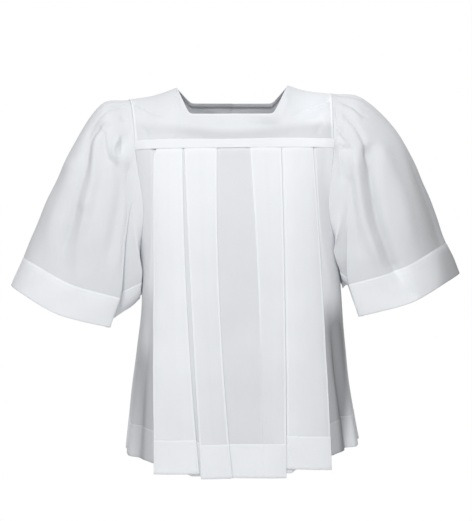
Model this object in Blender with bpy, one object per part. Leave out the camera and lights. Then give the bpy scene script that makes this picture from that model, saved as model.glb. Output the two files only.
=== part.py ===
"""Square-yoke surplice, standing open as it is worn, with no wearer inside.

Metres, +Z up. The wearer faces -Y, so +X is the wearer's left. The origin is midway between the two
points where the yoke lies on the shoulders beside the neck. Every piece is a wall of cloth, built as
an outer and an inner grid of points with rims between them.
"""

import math

import bmesh
import bpy
import numpy as np

# ---------------------------------------------------------------- driving sizes
CLOTH = 0.0010  # wall of one layer
HEM_CLOTH = 0.0017  # wall of the turned-up hems
SEAM_GAP = 0.0003  # between two pieces that are sewn together
ARM_SEAM_GAP = 0.0006  # between a sleeve and the armhole's edge
PLEAT_RETURN = 0.026  # how far a pleat's fold runs back under its face
TOP_PITCH = 0.0014  # from one folded layer to the next, under the yoke
HEM_PITCH = 0.0042  # the same at the hem, where the pleats hang looser
HEM_DEPTH = 0.064
HEM_STEP = 0.003  # share of the length in which the wall thickens to the hem's
CUFF_SHARE = 0.15  # share of a sleeve's length that its turned-up hem takes
BAND_DEPTH = 0.0165  # the turned and stitched lower edge of the yoke

YOKE_END = -0.132  # height of the yoke's lower edge at the middle
YOKE_END_TILT = 0.010  # it rises this much for each metre towards the wearer's left
UNDERARM_SHARE = 0.42  # the underarm, as a share of the way from yoke to hem
FRONT, BACK = -1, 1
RIGHT, LEFT = -1, 1  # the wearer's
CORNER_X = 0.2  # about where the yoke's lower corners lie, for their heights
ARM_DEPTH = {FRONT: 0.090, BACK: 0.063}  # from the shoulder line to the yoke's lower corners
ARM_HOLLOW = {FRONT: 0.013, BACK: 0.017}  # how much further in the armhole's edge runs lower down
HOLLOW_SKEW = 1.4  # puts that hollow's deepest place below the armhole's middle
HOOK_POWER = 4  # how suddenly the armhole's edge hooks out to the underarm

# Horizontal sections of the body, as flattened ellipses.
SECTION_COLUMNS = ("height", "right", "left", "front", "back", "front_square", "back_square")
SECTIONS = (
    (-0.130, 0.210, 0.222, 0.118, 0.108, 4.0, 2.7),
    (-0.270, 0.194, 0.214, 0.135, 0.122, 3.5, 2.7),
    (-0.420, 0.180, 0.218, 0.140, 0.124, 4.0, 2.8),
    (-0.600, 0.199, 0.235, 0.150, 0.136, 4.2, 3.0),
    (-0.775, 0.217, 0.268, 0.158, 0.148, 4.2, 3.2),
)

# The yoke's top edge: shoulder line, then the sloping side of the neckline.
YOKE_COLUMNS = ("side", "tip_x", "tip_z", "neck_x", "neck_z", "corner_x")
YOKE_SIDES = (
    (RIGHT, -0.209, -0.0277, -0.1115, -0.0040, -0.0850),
    (LEFT, 0.201, -0.0155, 0.1125, 0.0010, 0.0825),
)
NECKLINE = {FRONT: -0.0640, BACK: -0.0300}  # height of the straight stretch of the neckline
RIDGE_SAG = 0.004  # how far the shoulder line dips between neck and arm seam

# Box pleats, from the wearer's right to left: where each edge lies under the yoke, at mid height
# and at the hem, how low each edge hangs, and how far the pleat is set back.
PLEAT_COLUMNS = ("name", "a_top", "a_mid", "a_hem", "b_top", "b_mid", "b_hem", "a_low", "b_low", "set_back")
FRONT_PLEATS = (
    ("first", -0.1560, -0.1530, -0.1505, -0.0960, -0.0870, -0.0625, -0.7640, -0.7620, 0.0000),
    ("second", -0.0925, -0.0785, -0.0585, -0.0290, -0.0235, 0.0010, -0.7720, -0.7705, 0.0000),
    ("third", 0.0350, 0.0520, 0.0600, 0.0960, 0.1025, 0.1045, -0.7700, -0.7700, 0.0000),
    ("fourth", 0.0995, 0.1060, 0.1075, 0.1580, 0.1745, 0.1915, -0.7530, -0.7560, 0.0020),
)
BACK_PLEATS = (
    ("first", -0.1400, -0.1360, -0.1450, -0.0870, -0.0790, -0.0720, -0.7600, -0.7640, 0.0000),
    ("second", -0.0835, -0.0740, -0.0660, -0.0290, -0.0230, -0.0130, -0.7660, -0.7670, 0.0000),
    ("third", 0.0300, 0.0440, 0.0540, 0.0850, 0.0950, 0.1100, -0.7670, -0.7650, 0.0000),
    ("fourth", 0.0885, 0.1000, 0.1160, 0.1420, 0.1570, 0.1890, -0.7630, -0.7570, 0.0010),
)
SIDE_HEM = {RIGHT: -0.7315, LEFT: -0.7130}  # how low the side seams hang
PLEAT_SIDE_HEM = {RIGHT: -0.7465, LEFT: -0.7325}  # and the cloth that runs in under the outer pleats
MIDDLE_SHARE = 0.47  # where a pleat's middle position counts, as a share of its length
SIDE_SHARES = (0.10, 0.24, 0.42, 0.64, 0.84, 1.0)  # stations from the outer pleat to the side seam

# Soft upright folds on the body's sides: the place as a share of the way from pleat to seam.
FOLD_COLUMNS = ("place", "width", "depth")
SIDE_FOLDS = ((0.36, 0.16, 0.009), (0.80, 0.14, -0.006))
FOLDS_START = 0.15  # share of the length at which they begin
FOLDS_GROW = 0.50  # and over which they reach their full depth

# Rings of each sleeve from the armhole down: the outer line, the fold nearest the body, the
# underarm, how far the ring reaches to front and back, how far its middle droops, and how much
# higher than a straight line it hangs between the fold and the underarm.
RING_COLUMNS = ("outer_x", "outer_z", "fold_x", "fold_z", "under_x", "under_z", "reach", "droop", "lift")
SLEEVE_RINGS = {
    RIGHT: (
        (-0.2610, -0.0350, -0.1960, -0.2450, -0.1835, -0.3900, 0.096, 0.000, 0.000),
        (-0.3170, -0.1130, -0.2015, -0.3000, -0.1850, -0.3990, 0.102, 0.000, 0.000),
        (-0.3700, -0.2240, -0.2065, -0.3600, -0.1870, -0.4090, 0.102, 0.004, 0.000),
        (-0.4120, -0.3230, -0.2150, -0.4250, -0.1890, -0.4180, 0.096, 0.009, 0.000),
        (-0.4460, -0.4020, -0.2380, -0.4845, -0.1915, -0.4275, 0.088, 0.015, 0.000),
    ),
    LEFT: (
        (0.2620, -0.0245, 0.2165, -0.2350, 0.2200, -0.3790, 0.096, 0.000, 0.004),
        (0.3330, -0.0930, 0.2205, -0.2850, 0.2205, -0.3860, 0.102, 0.000, 0.008),
        (0.3900, -0.2030, 0.2215, -0.3450, 0.2215, -0.3930, 0.102, 0.004, 0.012),
        (0.4270, -0.3020, 0.2270, -0.3950, 0.2225, -0.4010, 0.096, 0.009, 0.016),
        (0.4600, -0.3780, 0.2510, -0.4625, 0.2235, -0.4085, 0.088, 0.014, 0.020),
    ),
}
YOKE_ARM_SHARE = 0.4  # how much of half the armhole is the yoke's edge
RING_KEYS = (0.0, 0.08, 0.16, 0.25, 0.375, 0.5)  # outer line, shoulder, middle, fold, between, underarm
SLEEVE_CLEARANCE = 0.004  # between a sleeve's inner surface and the body it hangs against
CLEAR_BY = 0.25  # share of its length at which a sleeve has come that far away
RING_SPREAD = 1.1  # rows lie closer together towards the head
SLEEVE_FOLDS_GROW = 1.3  # the folds have their full depth at 1 / 1.3 of the length
SHOULDER_SHARE = 0.26  # how far from a ring's outer line towards its middle its shoulder lies
SHOULDER_REACH = 0.62  # share of the ring's reach that it has there
FOLD_REACH = 0.86  # and at the fold
BETWEEN_REACH = 0.46  # and between the fold and the underarm

# The largest folds of each sleeve: place round the sleeve at the head and at the cuff.
SLEEVE_FOLD_COLUMNS = ("head", "cuff", "width", "depth")
SLEEVE_FOLDS = {
    RIGHT: ((0.08, 0.10, 0.028, 0.007), (0.16, 0.19, 0.028, 0.006), (0.86, 0.84, 0.030, 0.006)),
    LEFT: ((0.09, 0.12, 0.028, 0.008), (0.17, 0.20, 0.026, 0.005), (0.85, 0.82, 0.030, 0.006)),
}

ARM_ROWS = 7
LOWER_ROWS = 4
YOKE_ROWS = 7
BAND_ROWS = 2
SLEEVE_ROWS = 10
SLEEVE_AROUND = 40
SHARP_ANGLE = 50  # degrees between two faces from which their edge counts as sharp


# ---------------------------------------------------------------- curves and sections
def smooth(at, knots, values):
    """Cubic through the values at the knots, whose slopes come from the neighbouring knots."""
    knots, values = np.asarray(knots, float), np.asarray(values, float)
    slopes = np.gradient(values, knots, axis=0)
    at = np.clip(at, knots[0], knots[-1])
    i = np.clip(np.searchsorted(knots, at, side="right") - 1, 0, len(knots) - 2)
    step = knots[i + 1] - knots[i]
    t = (at - knots[i]) / step
    extra = (1,) * (values.ndim - 1)
    t, step = np.reshape(t, np.shape(t) + extra), np.reshape(step, np.shape(step) + extra)
    return (
        values[i] * (1 + 2 * t) * (1 - t) ** 2
        + values[i + 1] * t * t * (3 - 2 * t)
        + slopes[i] * step * t * (1 - t) ** 2
        - slopes[i + 1] * step * t * t * (1 - t)
    )


def section(column, z):
    rows = SECTIONS[::-1]
    heights = [row[0] for row in rows]
    return smooth(z, heights, [row[SECTION_COLUMNS.index(column)] for row in rows])


def face_name(face):
    return "front" if face == FRONT else "back"


def half_width(side_sign, z):
    """The body's half width at height z, on the wearer's right (negative sign) or left."""
    return np.where(np.asarray(side_sign) < 0, section("right", z), section("left", z))


def body_depth(x, z, face):
    """How far the body's outer surface stands from the shoulder line at (x, z)."""
    power = section(face_name(face) + "_square", z)
    share = np.clip(np.abs(x) / half_width(np.sign(x), z), 0, 1)
    return section(face_name(face), z) * (1 - share**power) ** (1 / power)


def body_width(depth, z, face, side):
    """The x of the body's outer surface where it stands that far from the shoulder line."""
    power = section(face_name(face) + "_square", z)
    share = np.clip(depth / section(face_name(face), z), 0, 1)
    return side * half_width(side, z) * (1 - share**power) ** (1 / power)


def outward(x, depth, z, face):
    """Horizontal unit normal (x, y) of the body's outer surface."""
    power = section(face_name(face) + "_square", z)
    a, b = half_width(np.sign(x), z), section(face_name(face), z)
    nx = np.sign(x) * (np.abs(x) / a) ** (power - 1) / a
    ny = face * (depth / b) ** (power - 1) / b
    size = np.hypot(nx, ny)
    return nx / size, ny / size


def yoke_end(x):
    return YOKE_END + YOKE_END_TILT * np.asarray(x)


def arm_depth(z, side, face):
    """Depth of the armhole's edge below the yoke: it runs inwards, then hooks out to the underarm."""
    top = yoke_end(side * CORNER_X)
    under = top + UNDERARM_SHARE * (SIDE_HEM[side] - top)
    share = np.clip((top - z) / (top - under), 0, 1)
    hollow = ARM_HOLLOW[face] * np.sin(math.pi * share**HOLLOW_SKEW)
    return (ARM_DEPTH[face] + hollow) * np.sqrt(1 - share**HOOK_POWER)


def yoke_row(side):
    return dict(zip(YOKE_COLUMNS, next(row for row in YOKE_SIDES if row[0] == side)))


def ridge(x):
    """Height of the shoulder line, which goes on past the neck as if there were no opening."""
    height = np.zeros(np.shape(x))
    for side in (RIGHT, LEFT):
        row = yoke_row(side)
        share = (np.abs(x) - abs(row["neck_x"])) / (abs(row["tip_x"]) - abs(row["neck_x"]))
        sag = RIDGE_SAG * np.sin(math.pi * np.clip(share, 0, 1))
        line = row["neck_z"] + share * (row["tip_z"] - row["neck_z"]) - sag
        height = np.where(np.sign(x) == side, np.where(share < 0, row["neck_z"], line), height)
    return height


def yoke_arm_x(side, face):
    """x of the yoke's arm edge at its lower corner."""
    return float(body_width(ARM_DEPTH[face], yoke_end(side * CORNER_X), face, side))


# ---------------------------------------------------------------- walls and objects
def unit(vectors):
    return vectors / np.maximum(np.linalg.norm(vectors, axis=-1, keepdims=True), 1e-12)


def grid_normals(points, closed):
    """Unit normals of a grid of points, rows down the piece and columns across it."""
    down = np.gradient(points, axis=0)
    if closed:
        across = np.roll(points, -1, axis=1) - np.roll(points, 1, axis=1)
    else:
        across = np.gradient(points, axis=1)
    return unit(np.cross(across, down))


def flatten(normals, rows, columns, axis):
    """Turns the normals of an edge into the plane of its seam, so that its rim faces its neighbour."""
    normals[rows, columns, axis] = 0
    normals[rows, columns] = unit(normals[rows, columns])


def wall_object(name, outer, inner, closed, material):
    """A closed solid between two grids. A closed grid's last column joins its first."""
    rows, columns = outer.shape[:2]
    points = np.concatenate([outer.reshape(-1, 3), inner.reshape(-1, 3)])
    spans = columns if closed else columns - 1
    faces = []

    def at(layer, row, column):
        return layer * rows * columns + row * columns + column % columns

    for row in range(rows - 1):
        for column in range(spans):
            corners = [(row, column), (row, column + 1), (row + 1, column + 1), (row + 1, column)]
            faces.append([at(0, *corner) for corner in corners])
            faces.append([at(1, *corner) for corner in reversed(corners)])
    for column in range(spans):
        for row in (0, rows - 1):
            rim = [(0, row, column), (0, row, column + 1), (1, row, column + 1), (1, row, column)]
            faces.append([at(*corner) for corner in rim])
    if not closed:
        for row in range(rows - 1):
            for column in (0, columns - 1):
                rim = [(0, row, column), (0, row + 1, column), (1, row + 1, column), (1, row, column)]
                faces.append([at(*corner) for corner in rim])

    mesh = bpy.data.meshes.new(name)
    mesh.from_pydata(points.tolist(), [], faces)
    shape = bmesh.new()
    shape.from_mesh(mesh)
    bmesh.ops.recalc_face_normals(shape, faces=shape.faces)
    bmesh.ops.triangulate(shape, faces=shape.faces)
    shape.to_mesh(mesh)
    shape.free()
    mesh.shade_smooth()
    mesh.set_sharp_from_angle(angle=math.radians(SHARP_ANGLE))
    mesh.materials.append(material)
    made = bpy.data.objects.new(name, mesh)
    bpy.context.scene.collection.objects.link(made)
    return made


def cloth_material(name, colour):
    made = bpy.data.materials.new(name)
    made.use_nodes = True
    shader = made.node_tree.nodes["Principled BSDF"]
    shader.inputs["Base Color"].default_value = (*colour, 1)
    shader.inputs["Roughness"].default_value = 0.85
    shader.inputs["Metallic"].default_value = 0.0
    return made


# ---------------------------------------------------------------- yokes and their stitched bands
def yoke_columns(face):
    """(x and height of the top end, x of the bottom end) of each column, right to left."""
    columns = []
    for side in (RIGHT, LEFT):
        row = yoke_row(side)
        arm_x = yoke_arm_x(side, face)
        made = []
        for share in (0, 0.25, 0.5, 0.75, 1):
            x = row["tip_x"] + share * (row["neck_x"] - row["tip_x"])
            made.append((x, float(ridge(x)), arm_x + share * (row["neck_x"] - arm_x)))
        for share in (0.5, 1):
            x = row["neck_x"] + share * (row["corner_x"] - row["neck_x"])
            made.append((x, row["neck_z"] + share * (NECKLINE[face] - row["neck_z"]), x))
        for share in (0.33, 0.67):
            x = row["corner_x"] * (1 - share)
            made.append((x, NECKLINE[face], x))
        columns.append(made)
    return columns[0] + columns[1][::-1]


def yoke_curve(top_x, bottom_x, shares, start, face):
    """Points down one column of the yoke: it leaves the shoulder line level and drops as a parabola."""
    x = top_x + (bottom_x - top_x) * (shares - start) / (1 - start)
    y = face * body_depth(bottom_x, yoke_end(bottom_x), face) * shares
    z = ridge(x) - (ridge(x) - yoke_end(x)) * shares**2
    return np.stack([x, y, z], axis=1)


def yoke_grid(face):
    """Outer points of a yoke. The last rows, from YOKE_ROWS - 1 on, lie under its stitched band."""
    columns = []
    for top_x, top_z, bottom_x in yoke_columns(face):
        height = float(ridge(top_x))
        fall = height - float(yoke_end(top_x))
        start = math.sqrt(max(height - top_z, 0) / fall)
        band_start = math.sqrt(1 - BAND_DEPTH / fall)
        band_shares = np.linspace(band_start, 1, BAND_ROWS + 1)
        shares = np.concatenate([np.linspace(start, band_start, YOKE_ROWS), band_shares[1:]])
        columns.append(yoke_curve(top_x, bottom_x, shares, start, face))
    return np.stack(columns, axis=1)


def yoke_normals(points, face):
    normals = grid_normals(points, closed=False) * -face
    on_ridge = np.isclose(points[0, :, 1], 0)
    flatten(normals, slice(None), 0, 0)
    flatten(normals, slice(None), -1, 0)
    normals[0, on_ridge, 1] = 0
    normals[-1, :, 2] = 0
    return unit(normals)


def add_yoke(face, material, band_material):
    points = yoke_grid(face)
    normals = yoke_normals(points, face)
    points[..., 1] += face * SEAM_GAP / 2
    name = face_name(face)
    wall_object("yoke_" + name, points, points - normals * CLOTH, False, material)
    on_band = slice(YOKE_ROWS - 1, None)
    inner = points[on_band] + normals[on_band] * SEAM_GAP
    outer = inner + normals[on_band] * CLOTH
    wall_object("yoke_band_" + name, outer, inner, False, band_material)


# ---------------------------------------------------------------- pleated front and back
def quadratic(t, top, middle, end):
    """The curve through top at 0, middle at MIDDLE_SHARE and end at 1."""
    m = MIDDLE_SHARE
    return (
        top * (t - m) * (t - 1) / m
        + middle * t * (t - 1) / (m * (m - 1))
        + end * t * (t - m) / (1 - m)
    )


def pleat_stations(pleats, rows):
    """The folded path across the pleats: each station's x for every row, layer, hem and set-back."""
    stations = []
    for place, row in enumerate(pleats):
        pleat = dict(zip(PLEAT_COLUMNS, row))
        a = quadratic(rows, pleat["a_top"], pleat["a_mid"], pleat["a_hem"])
        b = quadratic(rows, pleat["b_top"], pleat["b_mid"], pleat["b_hem"])
        middle = (pleat["a_low"] + pleat["b_low"]) / 2
        a_under = PLEAT_SIDE_HEM[RIGHT] if place == 0 else middle
        b_under = PLEAT_SIDE_HEM[LEFT] if place == len(pleats) - 1 else middle
        path = (
            (a + PLEAT_RETURN, 2, a_under),
            (a + PLEAT_RETURN, 1, a_under),
            (a, 1, a_under if place == 0 else pleat["a_low"]),
            (a, 0, pleat["a_low"]),
            ((a + b) / 2, 0, middle),
            (b, 0, pleat["b_low"]),
            (b, 1, b_under if place == len(pleats) - 1 else pleat["b_low"]),
            (b - PLEAT_RETURN, 1, b_under),
            (b - PLEAT_RETURN, 2, b_under),
        )
        stations += [(x, layer, low, pleat["set_back"]) for x, layer, low in path]
    return stations


def panel_middle_line(face, pleats, rows):
    """Mid-thickness points of a whole panel and the directions of its two edges' rims."""
    pitch = TOP_PITCH + (HEM_PITCH - TOP_PITCH) * rows**1.5
    columns = []
    for x, layer, low, set_back in pleat_stations(pleats, rows):
        top = yoke_end(x) - SEAM_GAP
        z = top + rows * (low - top)
        depth = body_depth(x, z, face)
        nx, ny = outward(x, depth, z, face)
        inward = CLOTH / 2 + layer * pitch + set_back * rows
        columns.append(np.stack([x - nx * inward, face * depth - ny * inward, z], axis=1))
    edges = {}
    for side in (RIGHT, LEFT):
        pleat = dict(zip(PLEAT_COLUMNS, pleats[0] if side == RIGHT else pleats[-1]))
        edge = "a" if side == RIGHT else "b"
        start_x = quadratic(rows, *(pleat[edge + end] for end in ("_top", "_mid", "_hem")))
        pleat_depth = body_depth(start_x[-1], SIDE_HEM[side], face)
        made = []
        for share in SIDE_SHARES:
            hem_x = body_width(pleat_depth * (1 - share), SIDE_HEM[side], face, side)
            to_seam = (hem_x - start_x[-1]) / (side * half_width(side, SIDE_HEM[side]) - start_x[-1])
            hem = PLEAT_SIDE_HEM[side] + (SIDE_HEM[side] - PLEAT_SIDE_HEM[side]) * to_seam
            top = yoke_end(side * CORNER_X) - SEAM_GAP
            z = top + rows * (hem - top)
            end_depth = np.maximum(arm_depth(z, side, face), SEAM_GAP / 2)
            depth = body_depth(start_x, z, face) * (1 - share) + end_depth * share
            x = body_width(depth, z, face, side)
            nx, ny = outward(x, depth, z, face)
            folds = sum(
                size * math.exp(-(((share - place) / width) ** 2)) for place, width, size in SIDE_FOLDS
            )
            fade = (1 - share**4) * np.clip((rows - FOLDS_START) / FOLDS_GROW, 0, 1)
            inward = CLOTH / 2 + 2 * pitch * (1 - share) + folds * fade
            if share == 1:
                below_arm = rows > UNDERARM_SHARE - 1e-6
                nx, ny = np.where(below_arm, side, 0.0), np.where(below_arm, 0.0, face)
                edges[side] = np.stack([nx, ny], axis=1)
                inward = CLOTH / 2
            made.append(np.stack([x - nx * inward, face * depth - ny * inward, z], axis=1))
        columns = made[::-1] + columns if side == RIGHT else columns + made
    return np.stack(columns, axis=1), edges


def plan_normals(points, edges, face):
    """Mitred horizontal offsets, per unit of half thickness, that point out of the garment."""
    run = np.diff(points[..., :2], axis=1)
    side_way = unit(np.stack([run[..., 1], -run[..., 0]], axis=-1)) * -face
    first, last = side_way[:, :-1], side_way[:, 1:]
    joined = (first + last) / (1 + np.sum(first * last, axis=-1, keepdims=True))
    flat = np.concatenate([edges[RIGHT][:, None], joined, edges[LEFT][:, None]], axis=1)
    return np.concatenate([flat, np.zeros_like(flat[..., :1])], axis=-1)


def panel_rows():
    """Shares of the length: closer towards the underarm, then evenly down to the turned-up hem."""
    upper = UNDERARM_SHARE * np.sin(np.linspace(0, math.pi / 2, ARM_ROWS))
    hem_top = 1 - HEM_DEPTH / (YOKE_END - FRONT_PLEATS[0][PLEAT_COLUMNS.index("a_low")])
    lower = np.linspace(UNDERARM_SHARE, hem_top, LOWER_ROWS)
    return np.concatenate([upper, lower[1:], [hem_top + HEM_STEP, 1.0]])


def add_panel(face, pleats, material):
    rows = panel_rows()
    points, edges = panel_middle_line(face, pleats, rows)
    normals = plan_normals(points, edges, face)
    half_inner = np.where(np.arange(len(rows)) >= len(rows) - 2, HEM_CLOTH - CLOTH / 2, CLOTH / 2)
    outer = points + normals * CLOTH / 2
    inner = points - normals * half_inner[:, None, None]
    wall_object(face_name(face) + "_panel", outer, inner, False, material)


# ---------------------------------------------------------------- sleeves
def armhole(side, face, share):
    """Points of the armhole's edge, from the shoulder tip at share 0 to the underarm at 1."""
    on_yoke = np.clip(share / YOKE_ARM_SHARE, 0, 1)
    yoke_points = yoke_curve(yoke_row(side)["tip_x"], yoke_arm_x(side, face), on_yoke, 0, face)
    corner_z = yoke_end(side * CORNER_X)
    under_z = corner_z + UNDERARM_SHARE * (SIDE_HEM[side] - corner_z)
    on_panel = np.clip((share - YOKE_ARM_SHARE) / (1 - YOKE_ARM_SHARE), 0, 1)
    z = corner_z + (under_z - corner_z) * np.sin(on_panel * math.pi / 2)
    depth = arm_depth(z, side, face)
    panel_points = np.stack([body_width(depth, z, face, side), face * depth, z], axis=1)
    return np.where((share <= YOKE_ARM_SHARE)[:, None], yoke_points, panel_points)


def ring_points(ring, around):
    """A sleeve ring through its key points, alike at front and back: round outside, straight inside.

    From the outer line to the fold it is a smooth curve, and from the fold round the underarm to the
    back fold it runs straight from key to key.
    """
    r = dict(zip(RING_COLUMNS, ring))
    outer = np.array([r["outer_x"], 0, r["outer_z"]])
    fold = np.array([r["fold_x"], -r["reach"] * FOLD_REACH, r["fold_z"]])
    under = np.array([r["under_x"], 0, r["under_z"]])
    middle = (outer + fold) / 2
    middle[1], middle[2] = -r["reach"], middle[2] - r["droop"]
    shoulder = outer + (middle - outer) * SHOULDER_SHARE
    shoulder[1] = -r["reach"] * SHOULDER_REACH
    between = (fold + under) / 2
    between[1], between[2] = -r["reach"] * BETWEEN_REACH, between[2] + r["lift"]
    front = [outer, shoulder, middle, fold, between, under]
    mirror = np.array([1, -1, 1])
    loop = front + [point * mirror for point in front[-2:0:-1]]
    keys = list(RING_KEYS) + [1 - key for key in RING_KEYS[-2:0:-1]]
    knots = [keys[-2] - 1, keys[-1] - 1] + keys + [1, 1 + keys[1]]
    round_way = smooth(around, knots, loop[-2:] + loop + loop[:2])
    loop = np.array(loop)
    straight_way = np.stack([np.interp(around, keys, loop[:, axis]) for axis in range(3)], axis=1)
    inside = (around > RING_KEYS[3]) & (around < 1 - RING_KEYS[3])
    return np.where(inside[:, None], straight_way, round_way)


def sleeve_grid(side):
    around = np.arange(SLEEVE_AROUND) / SLEEVE_AROUND
    share = 1 - np.abs(1 - 2 * around)
    front = armhole(side, FRONT, share)
    back = armhole(side, BACK, share)
    first = np.where((around <= 0.5)[:, None], front, back)
    first[:, 0] += side * ARM_SEAM_GAP
    rings = np.stack([first] + [ring_points(ring, around) for ring in SLEEVE_RINGS[side]])
    stations = np.arange(len(rings))
    above_hem = np.linspace(0, 1 - CUFF_SHARE, SLEEVE_ROWS - 2)
    rows = np.concatenate([above_hem, [1 - CUFF_SHARE + HEM_STEP, 1]]) ** RING_SPREAD
    points = smooth(rows * stations[-1], stations, rings)
    normals = grid_normals(points, closed=True) * -side
    progress = rows[:, None]
    for head, cuff, width, depth in SLEEVE_FOLDS[side]:
        off = np.abs(around[None] - (head + (cuff - head) * progress))
        grown = np.sin(np.clip(progress * SLEEVE_FOLDS_GROW, 0, 1) * math.pi / 2)
        fold = np.exp(-((off / width) ** 2)) * depth * grown
        points = points - normals * fold[..., None]
    clear = ARM_SEAM_GAP + (SLEEVE_CLEARANCE - ARM_SEAM_GAP) * np.clip(progress / CLEAR_BY, 0, 1)
    for face in (FRONT, BACK):
        body_x = body_width(np.abs(points[..., 1]), points[..., 2], face, side) + side * clear
        beside = (points[..., 1] * face >= 0) & (points[..., 2] < YOKE_END)
        nearer = beside & (side * points[..., 0] < side * body_x)
        points[1:, :, 0] = np.where(nearer, body_x, points[..., 0])[1:]
    return points


def add_sleeve(side, material):
    points = sleeve_grid(side)
    normals = grid_normals(points, closed=True) * -side
    normals[0, :, 0] = 0
    normals = unit(normals)
    name = "sleeve_right" if side == RIGHT else "sleeve_left"
    walls = np.where(np.arange(SLEEVE_ROWS) >= SLEEVE_ROWS - 2, HEM_CLOTH, CLOTH)
    wall_object(name, points, points - normals * walls[:, None, None], True, material)


def main():
    for old in list(bpy.data.objects):
        bpy.data.objects.remove(old, do_unlink=True)
    body_cloth = cloth_material("body_cloth", (0.82, 0.84, 0.87))
    sleeve_cloth = cloth_material("sleeve_cloth", (0.78, 0.80, 0.83))
    yoke_cloth = cloth_material("yoke_cloth", (0.82, 0.84, 0.87))
    band_cloth = cloth_material("band_cloth", (0.88, 0.90, 0.93))
    for face, pleats in ((FRONT, FRONT_PLEATS), (BACK, BACK_PLEATS)):
        add_yoke(face, yoke_cloth, band_cloth)
        add_panel(face, pleats, body_cloth)
    for side in (RIGHT, LEFT):
        add_sleeve(side, sleeve_cloth)


main()
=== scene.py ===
"""Square-yoke surplice in white poly-cotton, filled out as it is worn: the looks of every piece.

Metres, +Z up, the wearer faces -Y. Each piece of cloth is worked out as a grid of points, rows down
the cloth and columns across it, in the order in which the garment is put together.
"""
import math

import bpy
import numpy as np
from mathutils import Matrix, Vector


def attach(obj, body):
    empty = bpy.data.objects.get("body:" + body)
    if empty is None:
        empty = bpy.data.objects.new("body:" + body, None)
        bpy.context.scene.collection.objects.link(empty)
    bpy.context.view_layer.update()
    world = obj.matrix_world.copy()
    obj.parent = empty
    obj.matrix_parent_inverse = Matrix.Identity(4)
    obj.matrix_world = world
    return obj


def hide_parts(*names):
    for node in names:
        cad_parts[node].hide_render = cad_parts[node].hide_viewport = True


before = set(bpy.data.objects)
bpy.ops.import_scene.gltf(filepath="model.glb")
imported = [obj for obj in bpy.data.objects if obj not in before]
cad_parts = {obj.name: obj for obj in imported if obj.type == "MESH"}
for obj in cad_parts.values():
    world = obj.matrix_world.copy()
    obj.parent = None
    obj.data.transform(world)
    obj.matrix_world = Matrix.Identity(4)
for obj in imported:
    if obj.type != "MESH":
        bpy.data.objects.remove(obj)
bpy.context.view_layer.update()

# ---------------------------------------------------------------------------- yoke
# The yoke is the flat top of the garment, front and back, that carries everything else on the
# shoulders. It is two pieces of the same white cloth joined on the shoulder line, with a square neck
# whose edge is turned under and stitched.
FRONT, BACK = -1, 1
RIGHT, LEFT = -1, 1  # the wearer's
MM = 0.001
FACE_NAMES = {FRONT: "front", BACK: "back"}
SIDE_NAMES = {RIGHT: "right", LEFT: "left"}
THREAD_WHITE = (0.93, 0.94, 0.95)
YOKE_THIN = (0.640, 0.654, 0.678)  # single cloth
YOKE_DOUBLED = (0.885, 0.905, 0.940)  # cloth with more cloth behind it
YOKE_PAINTED_SHADE = (0.40, 0.41, 0.43)  # painted shade: single cloth close over the unlit inside
CLOTH = 0.0006  # thickness of one layer
SEAM_GAP = 0.0003  # between two pieces that are sewn together

# The body's sections from the yoke down: how far each reaches to every side, and the powers of the
# flattened ellipses that it is made of, where 2 is round and more is squarer.
SECTION_COLUMNS = ("height", "right", "left", "front", "back", "front_square", "back_square")
SECTIONS = (
    (-0.130, 0.210, 0.222, 0.118, 0.108, 4.0, 2.7),
    (-0.270, 0.194, 0.214, 0.135, 0.122, 3.5, 2.7),
    (-0.420, 0.180, 0.218, 0.140, 0.124, 4.0, 2.8),
    (-0.600, 0.199, 0.235, 0.150, 0.136, 4.2, 3.0),
    (-0.775, 0.217, 0.268, 0.158, 0.148, 4.2, 3.2),
)
YOKE_END = -0.132  # height of the yoke's lower edge at the middle
YOKE_END_TILT = 0.010  # it rises this much for each metre towards the wearer's left
CORNER_X = 0.2  # about where the yoke's lower corners lie, for their heights
# Each side's shoulder tip and neck point, and where the level stretch of the neckline ends.
YOKE_SIDE_COLUMNS = ("tip_x", "tip_z", "neck_x", "neck_z", "corner_x")
YOKE_SIDES = {
    RIGHT: (0.2090, -0.0277, 0.1115, -0.0040, 0.0850),
    LEFT: (0.2010, -0.0155, 0.1125, 0.0010, 0.0825),
}
NECKLINE = {FRONT: -0.0640, BACK: -0.0300}  # height of that level stretch
NECK_CORNER_ROUND = 0.0022
RIDGE_SAG = 0.004  # how far the shoulder line dips between neck and arm seam
ARM_DEPTH = {FRONT: 0.090, BACK: 0.063}  # from the shoulder line to the yoke's lower corners
ARM_WELT_HEIGHT, ARM_WELT_PLACE = 0.9 * MM, 2.2 * MM  # the ridge that the arm seam raises
ARM_DIP_DEPTH, ARM_DIP_PLACE = 0.6 * MM, 4.8 * MM  # and the dip beside it
NECK_STITCH_ROW = 5  # the row of the grid on which the neck's stitches lie

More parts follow.
